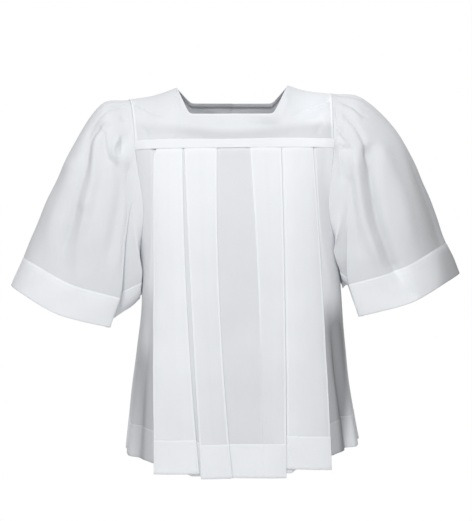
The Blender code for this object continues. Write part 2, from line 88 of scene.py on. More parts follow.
# Creases in the yoke: the places (x, z) along each, how wide and how deep it is, and how sharp: 2 is
# a soft bell, 1 a crisp line. A depth below nothing is a ridge. They drag from the shoulder tips, and
# one soft hollow lies above the band.
YOKE_CREASES = {
    FRONT: (
        (((-0.203, -0.034), (-0.180, -0.047), (-0.159, -0.059), (-0.126, -0.071)), 0.0034, 0.0034, 1.3),
        (((-0.200, -0.044), (-0.165, -0.066), (-0.130, -0.080)), 0.0060, -0.0018, 2.0),
        (((0.200, -0.028), (0.175, -0.042), (0.148, -0.054), (0.120, -0.066)), 0.0036, 0.0034, 1.3),
        (((0.198, -0.038), (0.165, -0.054), (0.126, -0.074)), 0.0060, -0.0018, 2.0),
        (((0.180, -0.066), (0.156, -0.078), (0.130, -0.082)), 0.0060, 0.0012, 2.0),
        (((-0.215, -0.106), (-0.100, -0.108), (0.000, -0.115), (0.225, -0.104)), 0.0100, 0.0036, 2.0),
        (((-0.200, -0.084), (0.000, -0.092), (0.210, -0.080)), 0.0120, -0.0022, 2.0),
        (((-0.112, -0.026), (-0.106, -0.050), (-0.092, -0.076)), 0.0060, -0.0014, 2.0),
        (((0.110, -0.022), (0.106, -0.046), (0.092, -0.072)), 0.0060, -0.0014, 2.0),
        (((0.030, -0.078), (0.070, -0.079), (0.116, -0.086)), 0.0070, 0.0022, 2.0),
        (((-0.186, -0.084), (-0.170, -0.100), (-0.166, -0.118)), 0.0060, 0.0014, 1.8),
        (((0.184, -0.078), (0.170, -0.094), (0.168, -0.112)), 0.0060, 0.0014, 1.8),
    ),
    BACK: (
        (((-0.200, -0.040), (-0.150, -0.070), (-0.100, -0.082)), 0.0050, 0.0026, 1.4),
        (((0.196, -0.036), (0.150, -0.058), (0.096, -0.066)), 0.0045, 0.0028, 1.4),
        (((-0.215, -0.108), (0.000, -0.116), (0.225, -0.106)), 0.0120, 0.0026, 2.0),
        (((-0.060, -0.040), (-0.010, -0.052), (0.070, -0.044)), 0.0080, 0.0014, 2.0),
        (((-0.184, -0.080), (-0.168, -0.098), (-0.166, -0.116)), 0.0060, 0.0014, 1.8),
    ),
}


def smooth(at, knots, values):
    """Cubic through the values at the knots, whose slopes come from the neighbouring knots."""
    knots, values = np.asarray(knots, float), np.asarray(values, float)
    slopes = np.gradient(values, knots, axis=0)
    at = np.clip(at, knots[0], knots[-1])
    i = np.clip(np.searchsorted(knots, at, side="right") - 1, 0, len(knots) - 2)
    step = knots[i + 1] - knots[i]
    t = (at - knots[i]) / step
    extra = (1,) * (values.ndim - 1)
    t, step = np.reshape(t, np.shape(t) + extra), np.reshape(step, np.shape(step) + extra)
    return (
        values[i] * (1 + 2 * t) * (1 - t) ** 2
        + values[i + 1] * t * t * (3 - 2 * t)
        + slopes[i] * step * t * (1 - t) ** 2
        - slopes[i + 1] * step * t * t * (1 - t)
    )


def ease(value, start=0.0, end=1.0):
    """0 before start, 1 after end, and a level-ended cubic between them."""
    t = np.clip((value - start) / (end - start), 0, 1)
    return t * t * (3 - 2 * t)


def bell(value, middle, width):
    """1 at the middle, falling away on both sides as exp(-(distance / width) squared)."""
    return np.exp(-(((value - middle) / width) ** 2))


def unit(vectors):
    """The same directions, one long."""
    return vectors / np.maximum(np.linalg.norm(vectors, axis=-1, keepdims=True), 1e-12)


def section(column, z):
    """The body's section at height z: each column of the table runs smoothly from row to row."""
    rows = SECTIONS[::-1]
    return smooth(z, [row[0] for row in rows], [row[SECTION_COLUMNS.index(column)] for row in rows])


def half_width(side_sign, z):
    """How far the body reaches to the side that the sign gives, at height z."""
    return np.where(np.asarray(side_sign) < 0, section("right", z), section("left", z))


def body_depth(x, z, face):
    """Depth b(1 - |x/a|^n)^(1/n) of the flattened ellipse that is the body's section at height z."""
    power = section(FACE_NAMES[face] + "_square", z)
    share = np.clip(np.abs(x) / half_width(np.sign(x), z), 0, 1)
    return section(FACE_NAMES[face], z) * (1 - share**power) ** (1 / power)


def body_width(depth, z, face, side):
    """The x at which the same ellipse has that depth."""
    power = section(FACE_NAMES[face] + "_square", z)
    share = np.clip(depth / section(FACE_NAMES[face], z), 0, 1)
    return side * half_width(side, z) * (1 - share**power) ** (1 / power)


def yoke_end(x):
    """Height of the yoke's lower edge: a straight line, slightly tilted."""
    return YOKE_END + YOKE_END_TILT * np.asarray(x)


def yoke_side(side):
    """The sizes of one side of the yoke, by name."""
    return dict(zip(YOKE_SIDE_COLUMNS, YOKE_SIDES[side]))


def yoke_arm_x(side, face):
    """The x of the yoke's lower corner, where the section has the armhole's depth."""
    return float(body_width(ARM_DEPTH[face], yoke_end(side * CORNER_X), face, side))


def ridge(x):
    """Height of the shoulder line: straight from neck to arm seam, sagging in a half sine."""
    height = np.zeros(np.shape(x))
    for side in (RIGHT, LEFT):
        size = yoke_side(side)
        share = (np.abs(x) - size["neck_x"]) / (size["tip_x"] - size["neck_x"])
        sag = RIDGE_SAG * np.sin(math.pi * np.clip(share, 0, 1))
        line = size["neck_z"] + np.maximum(share, 0) * (size["tip_z"] - size["neck_z"]) - sag
        height = np.where(np.sign(x) * side >= 0, line, height)
    return height


def neck_top(x, face):
    """Height of the yoke's top edge over x: the neckline, a rounded corner, the slope to the neck
    point, then the shoulder line. The corner is the soft maximum w ln(1 + e^(u/w)) of level and slope."""
    height = ridge(x)
    for side in (RIGHT, LEFT):
        size = yoke_side(side)
        slope = (size["neck_z"] - NECKLINE[face]) / (size["neck_x"] - size["corner_x"])
        past = (np.abs(x) - size["corner_x"]) * slope
        rise = NECK_CORNER_ROUND * slope * np.logaddexp(0, past / (NECK_CORNER_ROUND * slope))
        edge = np.minimum(NECKLINE[face] + rise, height)
        height = np.where((np.sign(x) * side >= 0) & (np.abs(x) < size["neck_x"]), edge, height)
    return height


def yoke_curve(top_x, bottom_x, shares, start, face):
    """Points down columns of the yoke: level at the shoulder line, then falling as a parabola."""
    x = top_x + (bottom_x - top_x) * (shares - start) / (1 - start)
    y = face * body_depth(bottom_x, yoke_end(bottom_x), face) * shares
    z = ridge(x) - (ridge(x) - yoke_end(x)) * shares**2
    return np.stack([x, y, z], axis=-1)


def yoke_columns():
    """x of each column's top end, close together along the arm seams and the neck's slopes."""
    made = []
    for side in (RIGHT, LEFT):
        size = yoke_side(side)
        near_seam = size["tip_x"] - np.array([0, 0.5, 1.0, 1.6, 2.2, 3.0, 4.2, 6.0]) * MM
        shoulder = np.linspace(near_seam[-1], size["neck_x"], 36)[1:]
        slope = np.linspace(size["neck_x"], size["corner_x"] - 0.010, 30)[1:]
        neck = np.linspace(slope[-1], 0, 24)[1:]
        half = side * np.concatenate([near_seam, shoulder, slope, neck])
        made.append(half)
    return np.concatenate([made[0], made[1][-2::-1]])


def grid_normals(points, sign, closed=False):
    """Unit normals of a grid of points, from its two directions' cross product, times sign."""
    down = np.gradient(points, axis=0)
    if closed:
        across = np.roll(points, -1, axis=1) - np.roll(points, 1, axis=1)
    else:
        across = np.gradient(points, axis=1)
    return unit(np.cross(across, down)) * sign


def creases(table, across, down):
    """How far a surface is moved in by its creases. Each follows the smooth curve through its places;
    across it the depth falls away as exp(-(distance / width) ^ sharpness), and it fades to nothing
    towards both ends."""
    moved = np.zeros(np.shape(across))
    spots = np.stack([across, down], axis=-1)
    for path, width, depth, sharpness in table:
        line = smooth(np.linspace(0, len(path) - 1, 6 * len(path)), np.arange(len(path)), path)
        nearest = np.full(np.shape(across), np.inf)
        place = np.zeros(np.shape(across))
        for step in range(len(line) - 1):
            run = line[step + 1] - line[step]
            along = np.clip(((spots - line[step]) @ run) / (run @ run), 0, 1)
            away = np.linalg.norm(spots - line[step] - along[..., None] * run, axis=-1)
            place = np.where(away < nearest, (step + along) / (len(line) - 1), place)
            nearest = np.minimum(away, nearest)
        shape = np.exp(-((nearest / width) ** sharpness))
        moved += depth * shape * ease(place, 0, 0.15) * (1 - ease(place, 0.75, 1))
    return moved


def swell(across, down, length, seed):
    """A soft uneven swell between -1 and 1: seven crossed sine waves of about that length."""
    random = np.random.default_rng(seed)
    total = np.zeros(np.shape(across))
    for heading, phase, stretch in random.uniform(0, 1, (7, 3)):
        turn = math.tau / (length * (0.7 + 0.6 * stretch))
        angle = math.tau * heading
        total += np.sin(turn * (math.cos(angle) * across + math.sin(angle) * down) + math.tau * phase)
    return total / 3.5


def turned_under(points, normals, rows, gap):
    """The edge turned to the wrong side: a round nose at the first of the rows, then those rows again,
    moved in by gap."""
    edge, before = rows[0], rows[1]
    way = unit(points[edge] - points[before])
    nose = points[edge] + way * gap / 2 - normals[edge] * gap / 2
    return np.concatenate([nose[None], points[rows] - normals[rows] * gap])


def cloth_piece(name, points, white, outward, closed=False):
    """A piece of cloth from its grid of points, with the white value of each, its own UV map in
    metres of cloth (across and down, both measured along the surface) and its thickness. Its faces
    run the other way round where outward is false."""
    rows, columns = points.shape[:2]
    spans = columns if closed else columns - 1
    row, column = np.meshgrid(np.arange(rows - 1), np.arange(spans), indexing="ij")
    corner_rows = np.stack([row, row, row + 1, row + 1], axis=-1).reshape(-1, 4)
    corner_columns = np.stack([column, column + 1, column + 1, column], axis=-1).reshape(-1, 4)
    if not outward:
        corner_rows, corner_columns = corner_rows[:, ::-1], corner_columns[:, ::-1]
    mesh = bpy.data.meshes.new(name)
    faces = corner_rows * columns + corner_columns % columns
    mesh.from_pydata(points.reshape(-1, 3), [], faces)

    middle = points[rows // 2]
    round_way = np.concatenate([middle, middle[:1]]) if closed else middle
    across = np.concatenate([[0], np.cumsum(np.linalg.norm(np.diff(round_way, axis=0), axis=1))])
    down = np.concatenate(
        [np.zeros((1, columns)), np.cumsum(np.linalg.norm(np.diff(points, axis=0), axis=2), axis=0)]
    )
    layer = mesh.uv_layers.new(name="cloth")
    flat = np.stack([across[corner_columns], down[corner_rows, corner_columns % columns]], axis=-1)
    layer.data.foreach_set("uv", flat.astype(np.float32).ravel())
    shade = mesh.attributes.new("white", "FLOAT", "POINT")
    shade.data.foreach_set("value", np.broadcast_to(white, (rows, columns)).astype(np.float32).ravel())
    mesh.shade_smooth()
    made = bpy.data.objects.new(name, mesh)
    bpy.context.scene.collection.objects.link(made)
    wall = made.modifiers.new("thickness", "SOLIDIFY")
    wall.thickness = CLOTH
    wall.offset = 0
    return made


class Shade:
    """An output socket of a material. Arithmetic on it adds Math nodes; make() adds any other node."""

    def __init__(self, tree, socket=None):
        self.tree, self.socket = tree, socket

    def make(self, kind, settings=(), sockets=(), output=0):
        node = self.tree.nodes.new(kind)
        for name, value in dict(settings).items():
            setattr(node, name, value)
        for name, value in dict(sockets).items():
            if isinstance(value, Shade):
                self.tree.links.new(value.socket, node.inputs[name])
            else:
                node.inputs[name].default_value = value
        return Shade(self.tree, node.outputs[output])

    def math(self, operation, *values):
        return self.make("ShaderNodeMath", {"operation": operation}, enumerate(values))

    def __add__(self, other):
        return self.math("ADD", self, other)

    __radd__ = __add__

    def __sub__(self, other):
        return self.math("SUBTRACT", self, other)

    def __rsub__(self, other):
        return self.math("SUBTRACT", other, self)

    def __mul__(self, other):
        return self.math("MULTIPLY", self, other)

    __rmul__ = __mul__


THREAD_PITCH = 0.42 * MM
WEAVE_DEPTH = 0.16 * MM


def cotton(name, deep, thin, doubled, seed):
    """Matte white poly-cotton. By the white attribute the colour goes from deep (-1, painted shade: single
    cloth darkened as if the unlit inside showed close behind it) through thin (0, single cloth) to
    doubled (1), with faint uneven yarns; the bump is a plain weave, thicker yarns and a soft crumple,
    all on the cloth's own UV map."""
    material = bpy.data.materials.new(name)
    material.use_nodes = True
    tree = material.node_tree
    shader = tree.nodes["Principled BSDF"]
    start = Shade(tree)
    place = start.make("ShaderNodeUVMap", {"uv_map": "cloth"})
    across, down = (start.make("ShaderNodeSeparateXYZ", (), {0: place}, output=axis) for axis in (0, 1))
    turn = math.tau / THREAD_PITCH
    weave = start.math("SINE", across * turn) * start.math("SINE", down * turn)

    def yarns(stretch_across, stretch_down, detail):
        """Noise drawn out along one set of threads."""
        scaled = start.make(
            "ShaderNodeVectorMath",
            {"operation": "MULTIPLY"},
            {0: place, 1: (stretch_across, stretch_down, 1.0)},
        )
        return start.make(
            "ShaderNodeTexNoise",
            {"noise_dimensions": "4D"},
            {"Vector": scaled, "W": float(seed), "Scale": 1.0, "Detail": detail, "Roughness": 0.6},
        )

    warp_yarns = yarns(900.0, 40.0, 2.0)
    weft_yarns = yarns(36.0, 820.0, 2.0)
    crumple = yarns(70.0, 55.0, 3.0)
    cloudy = yarns(14.0, 11.0, 2.0)
    uneven = (warp_yarns + weft_yarns + cloudy * 2.0 - 2.0) * 0.10
    white = start.make("ShaderNodeAttribute", {"attribute_name": "white"}, output=2)
    lit = start.make(
        "ShaderNodeMix",
        {"data_type": "RGBA"},
        {0: white + uneven, 6: (*thin, 1), 7: (*doubled, 1)},
        output=2,
    )
    # below zero the white value mixes towards the painted shade colour
    colour = start.make(
        "ShaderNodeMix", {"data_type": "RGBA"}, {0: 0.0 - white, 6: lit, 7: (*deep, 1)}, output=2
    )
    height = weave * 0.5 + warp_yarns * 0.7 + weft_yarns * 0.7 + crumple * 5.0
    bump = start.make(
        "ShaderNodeBump", (), {"Strength": 0.35, "Distance": WEAVE_DEPTH, "Height": height}
    )
    roughness = 0.80 + (warp_yarns + weft_yarns) * 0.08
    tree.links.new(colour.socket, shader.inputs["Base Color"])
    tree.links.new(roughness.socket, shader.inputs["Roughness"])
    tree.links.new(bump.socket, shader.inputs["Normal"])
    shader.inputs["Specular IOR Level"].default_value = 0.25
    shader.inputs["Sheen Weight"].default_value = 0.08
    shader.inputs["Sheen Roughness"].default_value = 0.6
    return material


def thread_material():
    """White polyester sewing thread with a slight gloss and a twist that shows as fine light lines."""
    material = bpy.data.materials.new("sewing_thread")
    material.use_nodes = True
    tree = material.node_tree
    shader = tree.nodes["Principled BSDF"]
    start = Shade(tree)
    place = start.make("ShaderNodeTexCoord", output=3)
    twist = start.make("ShaderNodeTexNoise", (), {"Vector": place, "Scale": 2600.0, "Detail": 1.0})
    colour = start.make(
        "ShaderNodeMix",
        {"data_type": "RGBA"},
        {0: twist, 6: tuple(part * 0.94 for part in THREAD_WHITE) + (1,), 7: (*THREAD_WHITE, 1)},
        output=2,
    )
    tree.links.new(colour.socket, shader.inputs["Base Color"])
    tree.links.new((0.45 + twist * 0.15).socket, shader.inputs["Roughness"])
    return material


STITCH_LENGTH, STITCH_GAP, STITCH_THICK = 2.5 * MM, 0.7 * MM, 0.40 * MM
STITCH_STATIONS = np.array([-1.0, -0.72, 0.0, 0.72, 1.0])
STITCH_SIDES = 6


def stitches(name, lines, material):
    """A row of stitches along each line of (points, normals): equal beads laid end to end, each a
    six-sided spindle whose radius is a half ellipse along its length, half sunk in the cloth."""
    swells = np.sqrt(1 - 0.97 * STITCH_STATIONS**2)[:, None] * STITCH_THICK / 2
    angles = np.arange(STITCH_SIDES) / STITCH_SIDES * math.tau
    bead_along = np.repeat(STITCH_STATIONS * STITCH_LENGTH / 2, STITCH_SIDES)
    bead_side = (swells * np.cos(angles)).ravel()
    bead_up = (swells * np.sin(angles)).ravel() + STITCH_THICK * 0.1
    ring, spoke = np.meshgrid(np.arange(len(STITCH_STATIONS) - 1), np.arange(STITCH_SIDES), indexing="ij")
    ring, spoke = ring.ravel() * STITCH_SIDES, spoke.ravel()
    after = (spoke + 1) % STITCH_SIDES
    beyond = ring + STITCH_SIDES
    sides = np.stack([beyond + spoke, beyond + after, ring + after, ring + spoke], axis=1)
    places, ways, ups = [], [], []
    for points, normals in lines:
        far = np.concatenate([[0], np.cumsum(np.linalg.norm(np.diff(points, axis=0), axis=1))])
        count = max(int(far[-1] / (STITCH_LENGTH + STITCH_GAP)), 1)
        at = (np.arange(count) + 0.5) * far[-1] / count
        ends = [
            np.stack([np.interp(at + shift, far, points[:, axis]) for axis in range(3)], axis=1)
            for shift in (-STITCH_LENGTH / 2, STITCH_LENGTH / 2)
        ]
        places.append((ends[0] + ends[1]) / 2)
        ways.append(unit(ends[1] - ends[0]))
        ups.append(np.stack([np.interp(at, far, normals[:, axis]) for axis in range(3)], axis=1))
    place, way, up = (np.concatenate(part) for part in (places, ways, ups))
    beside = unit(np.cross(way, up))
    up = unit(np.cross(beside, way))
    beads = (
        place[:, None]
        + way[:, None] * bead_along[None, :, None]
        + beside[:, None] * bead_side[None, :, None]
        + up[:, None] * (bead_up[None, :, None] + CLOTH / 2)
    )
    size = len(bead_along)
    offsets = np.arange(len(place))[:, None, None] * size
    faces = [list(face) for face in (sides[None] + offsets).reshape(-1, 4)]
    around = np.arange(STITCH_SIDES)
    ends = np.array([around, (around + size - STITCH_SIDES)[::-1]])
    faces += [list(face) for face in (ends[None] + offsets).reshape(-1, STITCH_SIDES)]
    mesh = bpy.data.meshes.new(name)
    mesh.from_pydata(beads.reshape(-1, 3), [], faces)
    mesh.materials.append(material)
    mesh.shade_smooth()
    made = bpy.data.objects.new(name, mesh)
    bpy.context.scene.collection.objects.link(made)
    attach(made, "root")
    return made


def yoke_surface(face):
    """The yoke's grid before its edges are turned: rows from the top edge down to the lower edge,
    moved in by its creases and out along the arm seams as a narrow welt, less and less towards both
    edges. With it come its normals, how far each column is from the arm seam, and each row's share."""
    top_x = yoke_columns()
    bottom_x = np.array(top_x)
    for side in (RIGHT, LEFT):
        size, arm_x = yoke_side(side), abs(yoke_arm_x(side, face))
        share = (np.abs(top_x) - size["neck_x"]) / (size["tip_x"] - size["neck_x"])
        out = side * (size["neck_x"] + share * (arm_x - size["neck_x"]))
        bottom_x = np.where((np.sign(top_x) * side > 0) & (share > 0), out, bottom_x)
    height = ridge(top_x)
    start = np.sqrt(np.clip(height - neck_top(top_x, face), 0, None) / (height - yoke_end(top_x)))
    rows = np.concatenate([np.linspace(0, 0.06, 7), np.linspace(0.06, 1, 58)[1:]])[:, None]
    shares = start + (1 - start) * rows
    points = yoke_curve(top_x, bottom_x, shares, start, face)
    normals = grid_normals(points, face)
    x, z = points[..., 0], points[..., 2]
    seam = np.minimum(top_x - top_x[0], top_x[-1] - top_x)
    moved = creases(YOKE_CREASES[face], x, z) * ease(seam, 0, 0.006)
    moved = moved - ARM_WELT_HEIGHT * bell(seam, ARM_WELT_PLACE, 1.4 * MM)
    moved = moved + ARM_DIP_DEPTH * bell(seam, ARM_DIP_PLACE, 1.2 * MM)
    moved = moved + 0.6 * MM * swell(x, z, 0.060, 11 + face) * ease(seam, 0, 0.02)
    fade_down = 1 - ease(rows, 0.86, 0.97)
    fade_top = ease(rows, 0, 0.05)
    points = points - normals * (moved * fade_down * fade_top)[..., None]
    points[..., 1] += face * SEAM_GAP / 2
    return points, grid_normals(points, face), seam, rows


def yoke_white(points, seam):
    """The yoke's white value: one value below a boundary that dips in the middle, another above it,
    the lower with painted light towards both sides and the upper towards the wearer's left, a painted
    shade in the crease beside the neck, and a painted highlight on the arm seams' welts."""
    x, z = points[..., 0], points[..., 2]
    boundary = -0.083 - 0.018 * bell(x, 0, 0.11)
    low = 0.02 + 0.26 * ease(np.abs(x), 0.03, 0.17)
    high = 0.46 + 0.42 * ease(x, 0.08, 0.17) - 0.35 * bell(x, 0.072, 0.024) * bell(z, -0.080, 0.010)
    return low + (high - low) * ease(z - boundary, -0.008, 0.010) + 0.5 * bell(seam, 0.0022, 0.0018)


thread = thread_material()
yoke_cloth = cotton("yoke_cloth", YOKE_PAINTED_SHADE, YOKE_THIN, YOKE_DOUBLED, 3)
for face in (FRONT, BACK):
    points, normals, seam, rows = yoke_surface(face)
    top = turned_under(points, normals, [0, 1, 3, 6, 9], 1.0 * MM)[::-1]
    bottom = turned_under(points, normals, [-1, -2, -4], 0.8 * MM)
    plain = yoke_white(points, seam)
    whiter_edge = 0.30 * (1 - ease(rows, 0.03, 0.07))
    white = np.concatenate([plain[:1].repeat(len(top), 0), plain + whiter_edge, plain[-len(bottom):]])
    name = "yoke_" + FACE_NAMES[face]
    yoke = cloth_piece(name + "_cloth", np.concatenate([top, points, bottom]), white, face == BACK)
    yoke.data.materials.append(yoke_cloth)
    on_neck = np.abs(points[0, :, 1]) > 0.004
    neck_line = points[NECK_STITCH_ROW, on_neck], normals[NECK_STITCH_ROW, on_neck]
    sewn = stitches(name + "_stitches", [neck_line], thread)
    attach(yoke, "root")
    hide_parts(name)

# ---------------------------------------------------------------------------- yoke bands
# The yoke's lower edge is folded over the tops of the pleats and stitched flat along both its
# edges, which makes a whiter, thicker strip right across the front and another across the back.
BAND_THIN = (0.735, 0.752, 0.785)
BAND_DOUBLED = (0.900, 0.915, 0.940)
# painted shade colour for single band cloth close over the unlit inside
BAND_PAINTED_SHADE = (0.50, 0.51, 0.53)
BAND_DEPTH = 0.0165
BAND_STAND = 0.8 * MM  # how far it stands off the yoke
BAND_LIP = 1.6 * MM  # how far it reaches down over the pleats
BAND_TURN = 0.6 * MM
BAND_SHARES = np.array([0, 0.06, 0.12, 0.17, 0.24, 0.36, 0.50, 0.64, 0.76, 0.83, 0.88, 0.94, 1.0])
BAND_STITCH_ROWS = (2, 10)


def along_columns(places, known, values):
    """For each column, the values at the places: straight lines between those at the known places,
    which grow from row to row, and level past both ends."""
    row = np.clip((known[None] <= places[:, None]).sum(axis=1) - 1, 0, len(known) - 2)
    start, end = (np.take_along_axis(known, row + step, 0) for step in (0, 1))
    share = np.clip((places - start) / (end - start), 0, 1)[..., None]
    before, after = (np.take_along_axis(values, (row + step)[..., None], 0) for step in (0, 1))
    return before + (after - before) * share


def band_surface(face):
    """The band's grid: the yoke's surface again over the band's depth and lip, moved out by its
    stand, with a shallow valley along each row of stitches and a faint swell between them."""
    points, normals = (part[::-1] for part in yoke_surface(face)[:2])
    edge = points[0]
    along = np.concatenate([[0], np.cumsum(np.linalg.norm(np.diff(edge, axis=0), axis=1))])
    depth_line = BAND_DEPTH * (1 + 0.03 * np.sin(along * 31 + face))
    heights = edge[:, 2] + depth_line - BAND_SHARES[:, None] * (depth_line + BAND_LIP)
    band = along_columns(heights, points[..., 2], points)
    band[..., 2] = heights
    normals = unit(along_columns(heights, points[..., 2], normals))
    pillow = 0.35 * MM * (1 - bell(BAND_SHARES, 0.13, 0.05) - bell(BAND_SHARES, 0.86, 0.05))[:, None]
    pillow = pillow + 0.25 * MM * swell(along[None] + 0 * heights, heights, 0.030, 21 + face)
    return band + normals * (BAND_STAND + pillow)[..., None], normals


band_cloth = cotton("band_cloth", BAND_PAINTED_SHADE, BAND_THIN, BAND_DOUBLED, 5)
for face in (FRONT, BACK):
    outer, normals = band_surface(face)
    top = turned_under(outer, normals, [0, 1, 3], BAND_TURN)[::-1]
    bottom = turned_under(outer, normals, [-1, -2, -4], BAND_TURN)
    white = 0.45 + 0.15 * (bell(BAND_SHARES, 0.06, 0.05) + bell(BAND_SHARES, 0.94, 0.05))[:, None]
    # painted light: whiter towards the wearer's left, the side away from the key light
    white = white + 0.50 * ease(outer[..., 0], 0.06, 0.20)
    white = np.concatenate([white[:1].repeat(len(top), 0), white, white[-1:].repeat(len(bottom), 0)])
    name = "yoke_band_" + FACE_NAMES[face]
    strip = cloth_piece(name + "_cloth", np.concatenate([top, outer, bottom]), white, face == BACK)
    strip.data.materials.append(band_cloth)
    sewn = stitches(name + "_stitches", [(outer[row], normals[row]) for row in BAND_STITCH_ROWS], thread)
    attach(strip, "root")
    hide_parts(name)

# ---------------------------------------------------------------------------- pleated front and back
# One width of cloth each for the front and the back, laid in four box pleats under the yoke. Each
# pleat's edges are pinched and stitched close to the fold, which shows as a fine bright line, and
# the hem is turned up 64 mm on the wrong side and stitched along its top.
BODY_THIN = (0.738, 0.754, 0.782)
BODY_DOUBLED = (0.878, 0.898, 0.928)
# painted shade colour for single panel cloth close over the unlit inside
BODY_PAINTED_SHADE = (0.30, 0.305, 0.32)
TOP_PITCH = 0.9 * MM  # from one folded layer to the next, under the yoke
HEM_PITCH = 2.3 * MM  # the same at the hem, where the pleats hang looser
EDGE_STITCH = 2.3 * MM  # from a pleat's edge to its stitches
PINCH = 0.8 * MM  # between the two layers of a stitched edge
EDGE_STATIONS = np.array([0.9, 1.6, EDGE_STITCH / MM, 3.0, 4.5]) * MM
HEM_DEPTH = 0.064
HEM_TURN = 0.8 * MM
PANEL_LENGTH = 0.64  # about what hangs below the yoke
MIDDLE_SHARE = 0.47  # where a pleat's middle position counts, as a share of its length
OPENS_FROM, OPENS_TO = 0.42, 0.62  # over which a fold that opens out does so
STITCHED_SHARE = 0.50  # how far down the stitches of such a fold reach
UNDERARM_SHARE = 0.42  # the underarm, as a share of the way from yoke to hem
ARM_HOLLOW = {FRONT: 0.013, BACK: 0.017}  # how much further in the armhole's edge runs lower down
SIDE_HEM = {RIGHT: -0.7315, LEFT: -0.7130}  # how low the side seams hang
PLEAT_SIDE_HEM = {RIGHT: -0.7465, LEFT: -0.7325}  # and the cloth that runs in under the outer pleats
SINGLE_WHITE, HIDDEN_WHITE, FOLD_WHITE, SEWN_WHITE, HEM_WHITE = 0.02, 0.2, 0.9, 1.05, 0.92

# Box pleats from the wearer's right to left: where each edge lies under the yoke, at mid height and
# at the hem, how low each edge hangs, how far it is set back, how deep its folds run under it on
# each side, whether its first fold opens out below mid height, how white the face is at its four
# corners by the layers behind it and by painted shade where it hangs lower or tilts away from the
# light, and how far the band nips its first edge in.
PLEAT_COLUMNS = (
    "a_top", "a_mid", "a_hem", "b_top", "b_mid", "b_hem", "a_low", "b_low", "set_back",
    "a_under", "b_under", "opens", "white_a_top", "white_b_top", "white_a_hem", "white_b_hem", "nip",
)
PLEATS = {
    FRONT: (
        (-0.1530, -0.1530, -0.1505, -0.0960, -0.0870, -0.0625, -0.7640, -0.7620, 0.000,
         0.026, 0.025, 0, 0.80, 0.80, 0.66, 0.60, 0.006),
        (-0.0925, -0.0785, -0.0585, -0.0290, -0.0235, 0.0010, -0.7720, -0.7705, 0.000,
         0.026, 0.024, 0, 0.72, 0.78, 0.30, 0.05, 0),
        (0.0350, 0.0520, 0.0600, 0.0960, 0.1025, 0.1045, -0.7700, -0.7700, 0.000,
         0.026, 0.026, 1, 0.60, 0.76, 0.05, 0.30, 0),
        (0.0972, 0.1036, 0.1054, 0.1580, 0.1775, 0.1930, -0.7530, -0.7560, 0.002,
         0.019, 0.026, 0, 0.80, 0.76, 0.45, 0.10, 0),
    ),
    BACK: (
        (-0.1400, -0.1360, -0.1450, -0.0870, -0.0790, -0.0720, -0.7600, -0.7640, 0.000,
         0.026, 0.026, 0, 0.80, 0.80, 0.60, 0.50, 0.004),
        (-0.0835, -0.0740, -0.0660, -0.0290, -0.0230, -0.0130, -0.7660, -0.7670, 0.000,
         0.025, 0.024, 0, 0.80, 0.76, 0.40, 0.20, 0),
        (0.0300, 0.0440, 0.0540, 0.0850, 0.0950, 0.1100, -0.7670, -0.7650, 0.000,
         0.026, 0.026, 0, 0.80, 0.75, 0.20, 0.45, 0),
        (0.0885, 0.1000, 0.1160, 0.1420, 0.1570, 0.1890, -0.7630, -0.7570, 0.001,
         0.024, 0.026, 0, 0.75, 0.75, 0.45, 0.25, 0),
    ),
}
FACE_STATIONS = 22
SIDE_STATIONS = 40
BODY_ROWS = 84
WIDE_GAP, NARROW_GAP = 14, 4  # stations across the cloth between two pleats

# Upright folds beside the pleats: the side, where across the way from pleat to side seam each lies
# just below the arm and at the hem (as the share of the depth it has gone back), its width as such a
# share, its depth in those two places, and how high it starts.
FOLD_COLUMNS = ("side", "place_high", "place_hem", "width", "depth_high", "depth_hem", "starts")
SIDE_FOLDS = {
    FRONT: (
        (RIGHT, 0.08, 0.13, 0.070, 0.004, 0.011, -0.40),
        (RIGHT, 0.50, 0.50, 0.100, 0.001, 0.005, -0.46),
        (RIGHT, 0.78, 0.80, 0.070, 0.001, 0.004, -0.46),
        (LEFT, 0.085, 0.150, 0.060, 0.006, 0.018, -0.40),
        (LEFT, 0.48, 0.50, 0.110, 0.002, 0.006, -0.46),
        (LEFT, 0.76, 0.80, 0.090, 0.001, 0.004, -0.48),
    ),
    BACK: (
        (RIGHT, 0.16, 0.20, 0.080, 0.003, 0.009, -0.38),
        (RIGHT, 0.56, 0.60, 0.100, 0.002, 0.005, -0.46),
        (LEFT, 0.14, 0.22, 0.090, 0.003, 0.010, -0.36),
        (LEFT, 0.62, 0.64, 0.110, 0.001, 0.005, -0.48),
    ),
}


def arm_depth(z, side, face):
    """Depth of the armhole's edge below the yoke: inwards by a skewed half sine, then out to the
    underarm as the square root of 1 - share^4."""
    top = yoke_end(side * CORNER_X)
    under = top + UNDERARM_SHARE * (SIDE_HEM[side] - top)
    share = np.clip((top - z) / (top - under), 0, 1)
    return (ARM_DEPTH[face] + ARM_HOLLOW[face] * np.sin(math.pi * share**1.4)) * np.sqrt(1 - share**4)


def outward(x, depth, z, face):
    """Horizontal unit normal of the body's section, from the gradient of its ellipse."""
    power = section(FACE_NAMES[face] + "_square", z)
    a, b = half_width(np.sign(x), z), section(FACE_NAMES[face], z)
    nx = np.sign(x) * (np.abs(x) / a) ** (power - 1) / a
    ny = face * (depth / b) ** (power - 1) / b
    size = np.hypot(nx, ny)
    return nx / size, ny / size


def through(t, top, middle, end):
    """The quadratic through top at 0, middle at MIDDLE_SHARE and end at 1."""
    m = MIDDLE_SHARE
    return top * (t - m) * (t - 1) / m + middle * t * (t - 1) / (m * (m - 1)) + end * t * (t - m) / (1 - m)


def edge_x(pleat, edge, t):
    """The x of a pleat's edge a or b at each share of its length."""
    return through(t, *(pleat[edge + end] for end in ("_top", "_mid", "_hem")))


def pitch_at(t):
    """From one folded layer to the next: it grows from the top to the hem as share^4."""
    return TOP_PITCH + (HEM_PITCH - TOP_PITCH) * t**4


def opened_by(pleat, t):
    """How far the pleat's first fold has opened out, from 0 to 1, at each share of its length."""
    return ease(t, OPENS_FROM, OPENS_TO) * pleat["opens"]


